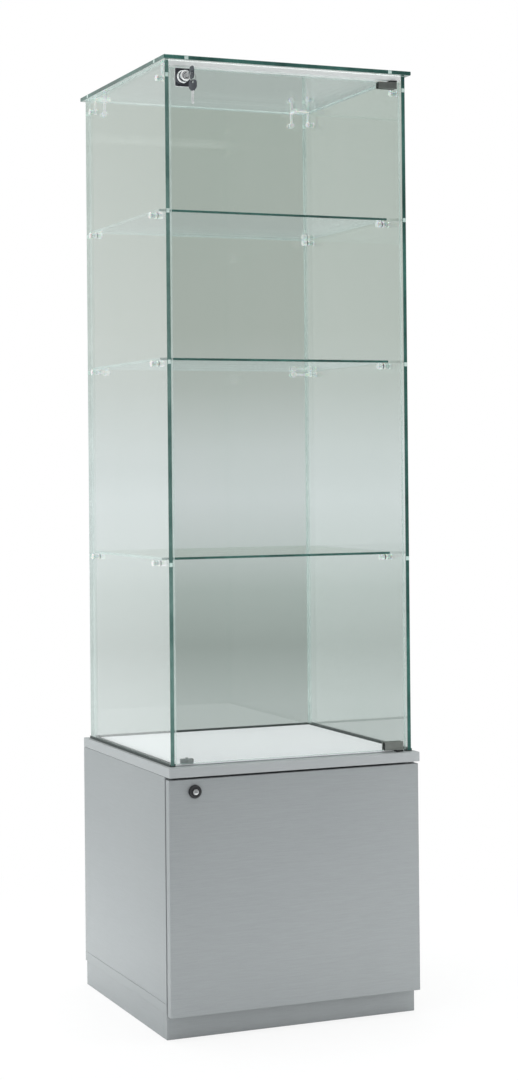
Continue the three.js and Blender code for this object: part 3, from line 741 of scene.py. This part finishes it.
def build_pane(node, normal, hole_points=(), radius=HOLE):
    """A pane with clear faces and deep green edges, and with painted light on its pale and glinting edges and its
    arrises.
    """
    place = pane_place(middle(node), normal)
    size = place.to_3x3().inverted() @ (high(node) - low(node))
    width, height, thickness = (abs(c) for c in size)
    holes = [tuple((place.inverted() @ Vector(p)).xy) for p in hole_points]
    small = radius == HOLE
    loops = [edge_points(width, height, holes if small else [])]
    loops += [circle(x, y, radius) for x, y in holes]
    mesh = outline_mesh(loops, thickness, ARRIS)
    face = "glass_ceiling" if node == "glass_top" else "glass_face"
    piece = link_piece(node + "_pane", mesh,
                       (face, "glass_edge", "glass_arris_painted_light", "glass_painted_glint", "glass_pale_painted_light"))
    half = (width / 2, height / 2)
    turn = place.to_3x3()
    for polygon in mesh.polygons:
        by_hole = small and near_hole(polygon.center, half, holes)
        polygon.material_index = pane_look(node, abs(polygon.normal.z), turn @ polygon.normal,
                                           by_hole)
    smooth(mesh, 30)
    mesh.transform(place)
    stand_in(piece, node)


def build_glass():
    for side, sign in SIDES:
        x = sign * INNER_X
        points = [(x, y, JOINT_Z) for y in (JOINT_FRONT_Y, JOINT_REAR_Y)]
        points.append((x, JOINT_REAR_Y, MIDDLE_JOINT_Z))
        points += [(x, middle(n).y, middle(n).z) for n in PEGS if f"_{side}_" in n]
        build_pane("glass_" + side, (1, 0, 0), points)
    back = [(sign * JOINT_X, BACK_Y, z) for _, sign in SIDES for z in (JOINT_Z, MIDDLE_JOINT_Z)]
    build_pane("glass_back", FRONT, back)
    top = [(sign * JOINT_X, y, CEILING)
           for _, sign in SIDES for y in (JOINT_FRONT_Y, JOINT_REAR_Y)]
    build_pane("glass_top", UP, top)
    build_pane("glass_door", FRONT, [GLASS_LOCK], LOCK_HOLE)
    for shelf in ("lower", "middle", "upper"):
        build_pane("shelf_" + shelf, UP)


# ---- clear joints and shelf supports

def fixing(point, inward, through=True):
    """A disc on a pane's inner face with its shank in the glass, and a head outside it."""
    profile = [(0, GAP + DISC_DEPTH), (DISC, GAP + DISC_DEPTH), (DISC, GAP), (SHANK, GAP)]
    outside = -GLASS - GAP
    if through:
        profile += [(SHANK, outside), (DISC, outside), (DISC, outside - HEAD_DEPTH),
                    (0, outside - HEAD_DEPTH)]
    else:
        profile += [(SHANK, outside + MM), (0, outside + MM)]
    return lathe_mesh(profile, Vector(point), inward, 40)


def bar(first, second, half):
    """A straight bar between two points along one axis, with half its size across."""
    lowest = Vector(min(a, b) - h for a, b, h in zip(first, second, half))
    highest = Vector(max(a, b) + h for a, b, h in zip(first, second, half))
    return block_mesh(lowest, highest)


def build_top_joints():
    for side, sign in SIDES:
        wall = sign * ARM_WALL
        for end, y in (("rear", JOINT_REAR_Y), ("front", JOINT_FRONT_Y)):
            node = f"corner_joint_top_{end}_{side}"
            x, z = sign * JOINT_X, ARM_CEILING
            parts = [
                fixing((sign * INNER_X, y, JOINT_Z), (-sign, 0, 0)),
                fixing((x, y, CEILING), (0, 0, -1), through=False),
                bar((wall, y, JOINT_Z), (wall, y, z), (DEEP, WIDE, DEEP)),
                bar((wall, y, z), (x, y, z), (DEEP, WIDE, DEEP)),
            ]
            if end == "rear":
                parts += [
                    fixing((x, BACK_Y, JOINT_Z), FRONT),
                    bar((x, ARM_BACK, JOINT_Z), (x, ARM_BACK, z), (WIDE, DEEP, DEEP)),
                    bar((x, y, z), (x, ARM_BACK, z), (WIDE, DEEP, DEEP)),
                ]
            stand_in(melted(joined(node + "_moulding", parts, "clear_plastic")), node)


def build_middle_joints():
    for side, sign in SIDES:
        node = "corner_joint_middle_" + side
        wall = sign * ARM_WALL
        x, z = sign * JOINT_X, MIDDLE_JOINT_Z
        parts = [
            fixing((sign * INNER_X, JOINT_REAR_Y, z), (-sign, 0, 0)),
            fixing((x, BACK_Y, z), FRONT),
            bar((wall, JOINT_REAR_Y, z), (wall, ARM_BACK, z), (DEEP, DEEP, WIDE)),
            bar((wall, ARM_BACK, z), (x, ARM_BACK, z), (DEEP, DEEP, WIDE)),
        ]
        stand_in(melted(joined(node + "_moulding", parts, "clear_plastic")), node)


def build_shelf_supports():
    outside = -GLASS - 2 * GAP
    length, radius, waist = 16 * MM, 6 * MM, 4.5 * MM
    groove = (4 * MM, 6 * MM)
    profile = eased([
        (0, length), (radius, length), (radius, groove[1]), (waist, groove[1]),
        (waist, groove[0]), (radius, groove[0]), (radius, 0), (SHANK, 0), (SHANK, outside),
        (DISC, outside), (DISC, outside - HEAD_DEPTH), (0, outside - HEAD_DEPTH),
    ], 0.7 * MM)
    inner, outer = waist + 0.1 * MM, radius - 0.3 * MM
    start, end = groove[0] + 0.2 * MM, groove[1] - 0.2 * MM
    ring = eased([(inner, start), (outer, start), (outer, end), (inner, end)], 0.4 * MM)
    for node in PEGS:
        sign = -1 if "_left_" in node else 1
        centre = Vector((sign * (INNER_X - GAP), middle(node).y, middle(node).z))
        inward = (-sign, 0, 0)
        peg = joined(node + "_moulding", [lathe_mesh(profile, centre, inward)], "clear_plastic")
        stand_in(peg, node)
        # A dark ring fills the groove of each support.
        groove_ring = joined(node + "_seal", [lathe_mesh(ring, centre, inward)], "dark_gap")
        finished(groove_ring, body_of(node))


# ---- screws

def screw_mesh(centre, axis, radius, rise, socket="cross"):
    """A pan head that stands up along axis from centre, with its driver recess cut in."""
    head = lathe_mesh(eased([(0, rise), (radius * 0.7, rise), (radius, rise * 0.35), (radius, 0),
                             (0, 0)], radius * 0.25), Vector((0, 0, 0)), UP, 32)
    piece = link_piece("head", head, ("zinc_steel",))
    cutters = []
    if socket == "hex":
        outline = circle(0, 0, radius * 0.55, 6)
        cutters.append(outline_mesh([outline], rise, SHARP))
    else:
        for turn in (0, 90):
            slot = outline_mesh([rectangle(radius * 1.25, radius * 0.28)], rise, SHARP)
            slot.transform(Matrix.Rotation(math.radians(turn + 45), 4, "Z"))
            cutters.append(slot)
    for cutter in cutters:
        cutter.transform(Matrix.Translation((0, 0, rise)))
    carved(piece, cutters)
    mesh = piece.data.copy()
    bpy.data.objects.remove(piece)
    mesh.transform(Matrix.Translation(Vector(centre)) @ axis_turn(axis))
    return mesh


def carved(piece, cutters):
    """Takes the cutters out of piece."""
    for cutter in cutters:
        tool = placed("cutter", cutter)
        cut = piece.modifiers.new("cut", "BOOLEAN")
        cut.operation = "DIFFERENCE"
        cut.solver = "EXACT"
        cut.object = tool
        applied(piece)
        bpy.data.objects.remove(tool)
        bpy.data.meshes.remove(cutter)


def screws(name, body, places, axis, radius, rise, socket="cross"):
    meshes = [screw_mesh(place, axis, radius, rise, socket) for place in places]
    finished(joined(name, meshes, "zinc_steel"), body)


# ---- hinges of the glass door

def rubber(name, block, width):
    """A small dark block on the glass door, with round edges."""
    piece = joined(name, [block], "dark_gap")
    bevel(piece, width)
    finished(applied(piece), "glass_door")


def build_hinge_shoes():
    for end, outward in (("upper", 1), ("lower", -1)):
        node = "hinge_shoe_" + end
        dress(node, "dark_nickel", 0.5 * MM)
        lowest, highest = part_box(node)
        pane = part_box("glass_door")
        edge = pane[1].z if outward > 0 else pane[0].z
        far = lowest.z if outward > 0 else highest.z
        z = (edge + far) / 2
        inset = 9 * MM
        xs = (lowest.x + inset, highest.x - inset)
        screws(node + "_grub_screws", "glass_door", [(x, highest.y, z) for x in xs],
               BACKWARD, 2.4 * MM, 0.5 * MM, "hex")
        # A black cap covers the neck that carries the pivot pin.
        centre = Vector((GLASS_PIVOT.x, (lowest.y + highest.y) / 2, 0))
        half = (7.3 * MM, (highest.y - lowest.y) / 2 + 0.3 * MM, 0)
        ends = [centre + UP * (edge + outward * rise * MM) for rise in (0.15, 3.1)]
        rubber(node + "_cap", bar(*ends, half), 0.4 * MM)
        # A dark rubber end shows at the free end of each plate.
        y, half_depth = lowest.y + 1.7 * MM, 1.6 * MM
        cap = bar((lowest.x - 1.2 * MM, y, min(edge, far) + MM),
                  (lowest.x - 0.1 * MM, y, max(edge, far) - 1.5 * MM), (0, half_depth, 0))
        rubber(node + "_end", cap, 0.3 * MM)


# ---- locks

def forward_lathe(profile, x, z, segments=64):
    """Turned round a lock's axis: points are (radius, distance in front of the case centre)."""
    scaled = [(r * MM, f * MM) for r, f in profile]
    return lathe_mesh(scaled, Vector((x, CASE_Y, z)), FRONT, segments)


def build_plug(node, look, radius, slot):
    """A lock's plug with its keyway cut in. slot is half the keyway's width and height."""
    place = middle(node)
    face, tail = ahead(low(node).y), ahead(high(node).y)
    profile = eased([(0, tail), (radius, tail), (radius, face), (0, face)], 0.5)
    piece = joined(node + "_turned", [forward_lathe(profile, place.x, place.z)], look)
    depth = 9
    ends = [(place.x, forward(face + 1), place.z), (place.x, forward(face - depth), place.z)]
    carved(piece, [bar(*ends, (slot[0] * MM, 0, slot[1] * MM))])
    smooth(piece.data)
    stand_in(piece, node)


def build_cam(node):
    """A flat cam with round ends and a square-shouldered screw behind it."""
    lowest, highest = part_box(node)
    axis = CABINET_LOCK if node.startswith("cabinet") else GLASS_LOCK
    half = (highest.z - lowest.z) / 2
    loop = rounded_rectangle(lowest.x - axis.x, highest.x - axis.x, -half, half, half * 0.98, 10)
    mesh = outline_mesh([loop], highest.y - lowest.y, 0.3 * MM)
    place = Vector((axis.x, (lowest.y + highest.y) / 2, axis.z))
    mesh.transform(pane_place(place, FRONT))
    stand_in(joined(node + "_plate", [mesh], "zinc_steel"), node)
    screws(node + "_screw", body_of(node), [(axis.x, highest.y, axis.z)], BACKWARD,
           4.2 * MM, 2.4 * MM)


def build_glass_lock():
    x, z = GLASS_LOCK.x, GLASS_LOCK.z
    lowest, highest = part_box("glass_lock_housing")
    pane_front = ahead(low("glass_door").y) + 0.3
    face = ahead(lowest.y)
    tail = ahead(highest.y)
    collar = 258                  # its front, ahead of the middle of the case
    barrel = forward_lathe(eased([
        (7, tail), (9, tail), (9, pane_front + 4), (12.5, pane_front + 4),
        (12.5, collar - 2.6), (10.6, collar), (10.3, collar + 0.6), (10.3, collar + 4.4),
        (10.5, collar + 4.8),
        (10.5, face - 2.4), (8.4, face), (7.6, face), (7, face - 0.8), (7, tail),
    ], 0.4), x, z)
    square = (highest.x - lowest.x, highest.z - lowest.z)
    centre_z = (highest.z + lowest.z) / 2
    hole = circle(0, z - centre_z, 10.2 * MM, 48)
    loop = rounded_rectangle(-square[0] / 2, square[0] / 2, -square[1] / 2, square[1] / 2,
                             2.4 * MM)
    plate = outline_mesh([loop, hole], 4.2 * MM, 0.9 * MM, 3)
    plate.transform(pane_place((x, forward(pane_front + 3.6), centre_z), FRONT))
    housing = joined("glass_lock_housing_turned", [barrel, plate], "chrome")
    # The flat front of the plate, outside the nose, has a darker copy of chrome: a painted dark reflection of the
    # room.
    housing.data.materials.append(LOOKS["chrome_painted_dark_reflection"])
    nose = 10.8 * MM
    for polygon in housing.data.polygons:
        aside = (polygon.center - Vector((x, polygon.center.y, z))).length
        if polygon.normal.y < -0.95 and aside > nose:
            polygon.material_index = 1
    stand_in(housing, "glass_lock_housing")

    inset = 0.5 * MM
    pad_loop = rounded_rectangle(inset - square[0] / 2, square[0] / 2 - inset,
                                 inset - square[1] / 2, square[1] / 2 - inset, 2 * MM)
    pad = outline_mesh([pad_loop, hole], 1.4 * MM, 0.1 * MM)
    pad.transform(pane_place((x, forward(pane_front + 0.72), centre_z), FRONT))
    finished(joined("glass_lock_pad", [pad], "dark_gap"), "glass_door")

    nut_low, nut_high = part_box("glass_lock_nut")
    radius = (nut_high.x - nut_low.x) / 2
    hexagon = circle(0, 0, radius, 6)
    nut = outline_mesh([hexagon, circle(0, 0, 9.3 * MM, 48)], nut_high.y - nut_low.y, 0.5 * MM, 2)
    nut.transform(pane_place(((nut_low + nut_high) / 2), FRONT))
    stand_in(joined("glass_lock_nut_hexagon", [nut], "chrome"), "glass_lock_nut")
    build_plug("glass_lock_plug", "chrome", 6.6, (1.3, 4.6))
    build_cam("glass_lock_cam")


def build_cabinet_lock():
    x, z = CABINET_LOCK.x, CABINET_LOCK.z
    lowest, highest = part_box("cabinet_lock_housing")
    face = ahead(lowest.y)
    tail = ahead(highest.y)
    root = face - 6.6
    housing = forward_lathe(eased([
        (6, tail), (9, tail), (9, root), (13, root), (13, root + 2.2), (12.2, root + 4.6),
        (9.8, face - 0.2), (8.6, face), (7.4, face - 0.2), (6.6, face - 1.2), (6, face - 1.4),
        (6, tail),
    ], 0.7), x, z)
    turned = joined("cabinet_lock_housing_turned", [housing], "black_plastic")
    stand_in(turned, "cabinet_lock_housing")
    build_plug("cabinet_lock_plug", "zinc_steel", 5.6, (3.6, 0.9))
    build_cam("cabinet_lock_cam")
    dress("cabinet_lock_strike", "zinc_steel", 0.4 * MM)
    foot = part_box("cabinet_lock_strike")
    places = [(x + dx * MM, foot[0].y + 15 * MM, foot[1].z - 2 * MM) for dx in (-10, 10)]
    screws("cabinet_lock_strike_screws", "case", places, (0, 0, -1), 3.2 * MM, 1.8 * MM)


# ---- keys

BLADE_THICKNESS = 1.9 * MM
GROOVE_DEPTH = 0.45 * MM
BOW_HOLE = 2.7 * MM
KEY_CUTS = (0.9, 1.4, 0.6, 1.6, 1.0)               # their depths, in millimetres


def bow_outline(length, height, neck):
    """A soft square bow that narrows to its neck, from the blade end at x = 0."""
    start = 2.2 * MM
    reach = (length - start) / 2
    shoulder = start + 0.35 * reach
    power, steps = 3.4, 48
    points = []
    for i in range(steps):
        angle = 2 * math.pi * i / steps
        c, s = math.cos(angle), math.sin(angle)
        x = start + reach + reach * math.copysign(abs(c) ** (2 / power), c)
        y = height / 2 * math.copysign(abs(s) ** (2 / power), s)
        if x < shoulder and abs(y) < neck:
            continue
        points.append((x, y))
    cut = next(i for i, p in enumerate(points) if p[0] < shoulder and p[1] < 0)
    return points[:cut] + [(0, neck), (0, -neck)] + points[cut:]


def blade_outline(length, width, root):
    """A flat blade from root (inside the bow) to its pointed tip, with cuts along one edge."""
    half = width / 2
    points = [(root, -half), (root, half)]
    step = (length - 7 * MM) / len(KEY_CUTS)
    for i, depth in enumerate(KEY_CUTS):
        start = -2.5 * MM - i * step
        points += [(start, half), (start - 0.3 * step, half - depth * MM),
                   (start - 0.7 * step, half - depth * MM)]
    points += [(3 * MM - length, half), (-length, 0.6 * MM), (-length, -0.6 * MM),
               (2 * MM - length, -half)]
    return points


def build_key(node, place, bow, blade):
    """A key in its own plane, X from the blade to the bow: a moulded bow on a steel blade."""
    length, height, hole_from_end = (v * MM for v in bow)
    reach, width = (v * MM for v in blade)
    thickness = 3.4 * MM
    hole = circle(length - hole_from_end, 0, BOW_HOLE)
    outline = bow_outline(length, height, 4.6 * MM)
    grip = outline_mesh([outline, hole], thickness - 0.8 * MM, 0.7 * MM, 3)
    pad = [(0.44 * length + (px - 0.5 * length) * 0.52, py * 0.62) for px, py in outline if px > 0]
    pads = outline_mesh([pad], thickness, 0.4 * MM, 2)
    piece = joined(node + "_bow", [grip, pads], "key_plastic")
    piece.data.transform(place)
    stand_in(piece, node)
    steel = outline_mesh([blade_outline(reach, width, 2.5 * MM)], BLADE_THICKNESS, 0.2 * MM)
    shaft = joined(node + "_blade", [steel], "zinc_steel")
    for side in (-1, 1):
        surface = side * BLADE_THICKNESS / 2
        groove = block_mesh(
            Vector((3 * MM - reach, -0.9 * MM, surface - GROOVE_DEPTH)),
            Vector((1 * MM, 0.5 * MM, surface + GROOVE_DEPTH)))
        carved(shaft, [groove])
    smooth(shaft.data)
    shaft.data.transform(place)
    finished(shaft, body_of(node))


def key_place(hole, along, across, hole_at):
    """Puts a key's hole at a point, with its X along one direction and its Y along another."""
    along, across = Vector(along).normalized(), Vector(across).normalized()
    turn = Matrix((along, across, along.cross(across))).transposed().to_4x4()
    return Matrix.Translation(hole) @ turn @ Matrix.Translation((-hole_at * MM, 0, 0))


def build_ring():
    """A split ring: two turns of flat wire side by side, with their ends left visible."""
    radius = 8.5 * MM
    centre = RING_PIVOT - radius * UP
    steps, sides, turns = 120, 10, 2
    wire = 0.36 * MM
    shell = bmesh.new()
    side_axis = RING_AXIS.cross(UP).normalized()
    rings = []
    for i in range(steps + 1):
        share = i / steps
        angle = 2 * math.pi * turns * share + math.radians(150)
        outward = side_axis * math.cos(angle) + UP * math.sin(angle)
        drift = (min(max((share - 0.38) / 0.24, 0), 1) - 0.5) * 0.68 * MM
        middle_of_wire = centre + outward * radius + RING_AXIS * drift
        ring = []
        for k in range(sides):
            a = 2 * math.pi * k / sides
            offset = outward * math.cos(a) * wire * 1.3 + RING_AXIS * math.sin(a) * wire * 0.85
            ring.append(shell.verts.new(middle_of_wire + offset))
        rings.append(ring)
    for first, second in zip(rings, rings[1:]):
        for k in range(sides):
            j = (k + 1) % sides
            shell.faces.new((first[k], first[j], second[j], second[k]))
    shell.faces.new(rings[0])
    shell.faces.new(reversed(rings[-1]))
    bmesh.ops.recalc_face_normals(shell, faces=shell.faces)
    stand_in(joined("key_ring_coil", [mesh_of(shell, "ring")], "zinc_steel"), "key_ring")


def build_keys():
    hole = Vector((RING_PIVOT.x, RING_PIVOT.y, GLASS_LOCK.z))
    place = key_place(hole, FRONT, UP, 18)
    build_key("key", place, (23, 25, 5), (24, 8))
    build_ring()
    spare_hole = Vector((SPARE_PIVOT.x, SPARE_PIVOT.y, SPARE_PIVOT.z - 0.9 * MM))
    place = key_place(spare_hole, UP, -RING_AXIS, 16.6)
    build_key("spare_key", place, (21, 20, 4.4), (25, 6))


# ---- door stop and cup hinges

def build_door_stop():
    lowest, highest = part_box("door_stop")
    knob = 2 * MM
    top = highest.z - knob
    centre = (lowest + highest) / 2
    loop = rounded_rectangle(lowest.x - centre.x, highest.x - centre.x,
                             lowest.z - centre.z, top - centre.z, 1.6 * MM)
    body = outline_mesh([loop], highest.y - lowest.y, 0.8 * MM, 3)
    body.transform(pane_place(centre, FRONT))
    pin = lathe_mesh(eased([(0, knob), (3 * MM, knob), (3 * MM, -MM), (0, -MM)], 0.6 * MM),
                     Vector((centre.x, centre.y, top)), UP)
    stand_in(joined("door_stop_moulding", [body, pin], "smoke_plastic"), "door_stop")


def build_cabinet_hinges():
    for end in ("upper", "lower"):
        node = "hinge_cup_" + end
        lowest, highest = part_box(node)
        x, z = middle(node).x, middle(node).z
        rim, bottom = ahead(highest.y), ahead(lowest.y)
        cup = forward_lathe(eased([
            (0, bottom), (17.4, bottom), (17.4, rim + 1.1), (19, rim + 1.1), (19, rim),
            (16.3, rim), (16.3, bottom - 1.1), (0, bottom - 1.1)], 0.5), x, z)
        parts = [cup]
        for side in (-1, 1):
            ear = outline_mesh([rounded_rectangle(-8 * MM, 8 * MM, -6 * MM, 6 * MM, 4 * MM)],
                               1.0 * MM, 0.2 * MM)
            ear.transform(pane_place((x, forward(rim + 0.55), z + side * 23 * MM), FRONT))
            parts.append(ear)
        stand_in(joined(node + "_pressing", parts, "zinc_steel"), node)
        places = [(x, forward(rim), z + side * 23.5 * MM) for side in (-1, 1)]
        screws(node + "_screws", "cabinet_door", places, BACKWARD, 3.2 * MM, 1.0 * MM)
        arm = "hinge_arm_" + end
        dress(arm, "zinc_steel", 0.7 * MM)
        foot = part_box(arm)
        places = [(foot[1].x - 9 * MM, foot[1].y - dy * MM, z) for dy in (7, 20)]
        screws(arm + "_screws", "case", places, (-1, 0, 0), 3.4 * MM, 1.6 * MM)


BACK_SCREWS = (0.06, 0.35, 0.65, 0.94)         # shares of the back board's height


def build_back_screws():
    """Screws along the edges of the cabinet's back board."""
    lowest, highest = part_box("cabinet_back")
    inset = 10 * MM
    places = []
    for x in (lowest.x + inset, highest.x - inset):
        for share in BACK_SCREWS:
            places.append((x, highest.y, lowest.z + share * (highest.z - lowest.z)))
    screws("cabinet_back_screws", "case", places, BACKWARD, 3.6 * MM, 1.6 * MM)


# ---- stage and light

FLOOR_RADIUS = 3.2


def make_floor():
    shell = bmesh.new()
    bmesh.ops.create_circle(shell, cap_ends=True, segments=96, radius=FLOOR_RADIUS)
    mesh = mesh_of(shell, "floor")
    floor = placed("floor", mesh)
    n = new_material("pale_floor")
    grain = n.noise(30, 2.0, 0.5)
    paper = n.principled(
        Base_Color=n.ramp(grain, [(0.3, (0.86, 0.87, 0.87)), (0.7, (0.89, 0.895, 0.895))]),
        Roughness=0.7,
    )
    white = n.made("ShaderNodeEmission", "Emission", {"Color": WHITE})
    length = n.add("ShaderNodeVectorMath", operation="LENGTH")
    n.feed(length.inputs[0], n.position((1, 1, 1)))
    distance = length.outputs["Value"]
    seen, direct = n.camera_ray()
    # Through the glass, the far floor fades into the studio, so that no edge of it shows.
    through_glass = n.maths("SUBTRACT", seen, direct)
    away = n.maths("MULTIPLY", through_glass, n.step(distance, 0.6, 3.0))
    ground = n.mix_shader(n.maths("MAXIMUM", away, 0.0), paper, n.clear(WHITE))
    share = n.maths("MULTIPLY", n.maths("MULTIPLY", n.step(distance, 0.35, 1.5, 0.85), seen),
                    direct)
    n.done(n.mix_shader(share, ground, white))
    mesh.materials.append(LOOKS["pale_floor"])


BEHIND_RIGHT = [(-0.25, (0.52, 0.56, 0.55)), (-0.108, (0.47, 0.51, 0.495)),
                (-0.083, (0.352, 0.392, 0.370)), (-0.057, (0.437, 0.486, 0.464)),
                (-0.035, (0.605, 0.645, 0.64)), (-0.015, (0.69, 0.725, 0.73)),
                (0.008, (0.645, 0.68, 0.675)), (0.037, (0.500, 0.535, 0.507)),
                (0.064, (0.452, 0.488, 0.447)), (0.156, (0.437, 0.484, 0.439)),
                (0.25, (0.45, 0.49, 0.455))]
BEHIND_LEFT = [(-0.25, (0.90, 0.94, 0.94)), (-0.10, (1.18, 1.23, 1.23)),
               (-0.05, (1.15, 1.20, 1.20)), (0.0, (0.85, 0.90, 0.90)),
               (0.06, (1.02, 1.05, 1.04)), (0.156, (0.85, 0.88, 0.86)),
               (0.25, (0.85, 0.88, 0.87))]
IN_FRONT = [(-1.0, (0.70, 0.70, 0.70)), (-0.6, (0.78, 0.79, 0.79)), (-0.1, (0.50, 0.51, 0.51)),
            (0.25, (0.20, 0.205, 0.21)), (0.55, (0.22, 0.225, 0.23)), (0.8, (0.6, 0.6, 0.6)),
            (1.0, (0.8, 0.8, 0.8))]
OVERHEAD = (0.92, 0.94, 0.94)


def make_world():
    """White where the camera sees it directly, and a grey studio for everything else.

    The studio's tone depends on where a ray goes: behind the case to the right, which is seen
    through the glass, behind it to the left, which the side panes mirror, in front, or up.
    """
    world = bpy.data.worlds.new("studio")
    bpy.context.scene.world = world
    n = Nodes(world, "ShaderNodeOutputWorld")

    def gradient(source, stops):
        """A ramp with its stops at values of source."""
        least, most = stops[0][0], stops[-1][0]
        share = n.made("ShaderNodeMapRange", "Result",
                       {"Value": source, "From Min": least, "From Max": most})
        return n.ramp(share, [((at - least) / (most - least), colour) for at, colour in stops])

    direction = n.add("ShaderNodeSeparateXYZ")
    n.feed(direction.inputs["Vector"], n.made("ShaderNodeTexCoord", "Generated"))
    x, y, z = (direction.outputs[axis] for axis in "XYZ")
    behind = n.mix(n.step(x, 0.15, -0.2), gradient(z, BEHIND_RIGHT), gradient(z, BEHIND_LEFT))
    around = n.mix(n.step(y, 0.1, -0.35), behind, gradient(x, IN_FRONT))
    colour = n.mix(n.step(z, 0.4, 0.85), around, OVERHEAD)
    studio = n.made("ShaderNodeBackground", "Background", {"Color": colour})
    white = n.made("ShaderNodeBackground", "Background", {"Color": WHITE})
    seen, direct = n.camera_ray()
    n.done(n.mix_shader(n.maths("MULTIPLY", direct, seen), studio, white))


def make_light(name, place, target, size, power):
    data = bpy.data.lights.new(name, "AREA")
    data.shape = "RECTANGLE"
    data.size, data.size_y = size
    data.energy = power
    light = placed(name, data)
    light.location = place
    light.visible_glossy = False
    light.visible_camera = False
    light.rotation_mode = "QUATERNION"
    light.rotation_quaternion = (Vector(target) - Vector(place)).to_track_quat("-Z", "Y")


def make_lights():
    make_light("low_left", (-0.62, 0.30, 0.12), (-0.26, 0.22, 0.10), (0.9, 0.1), 1.0)
    make_light("low_front", (-0.1, -0.75, 0.07), (-0.1, -0.25, 0.05), (0.9, 0.1), 0.35)
    make_light("near_right", (1.0, -1.0, 0.5), (0.15, -0.24, 0.4), (0.5, 0.5), 4.3)
    make_light("top", (0, 0.2, 4.4), (0, 0, 0.5), (2.6, 2.6), 104)


def set_scene():
    scene = bpy.context.scene
    scene.view_settings.view_transform = "Standard"
    scene.cycles.max_bounces = 16
    scene.cycles.transparent_max_bounces = 48
    scene.cycles.sample_clamp_indirect = 4


# ---- assembly

make_camera()
make_floor()
make_world()
make_lights()
set_scene()
dress_cad()
build_glass()
build_top_joints()
build_middle_joints()
build_shelf_supports()
build_hinge_shoes()
build_glass_lock()
build_cabinet_lock()
build_keys()
build_door_stop()
build_cabinet_hinges()
build_back_screws()
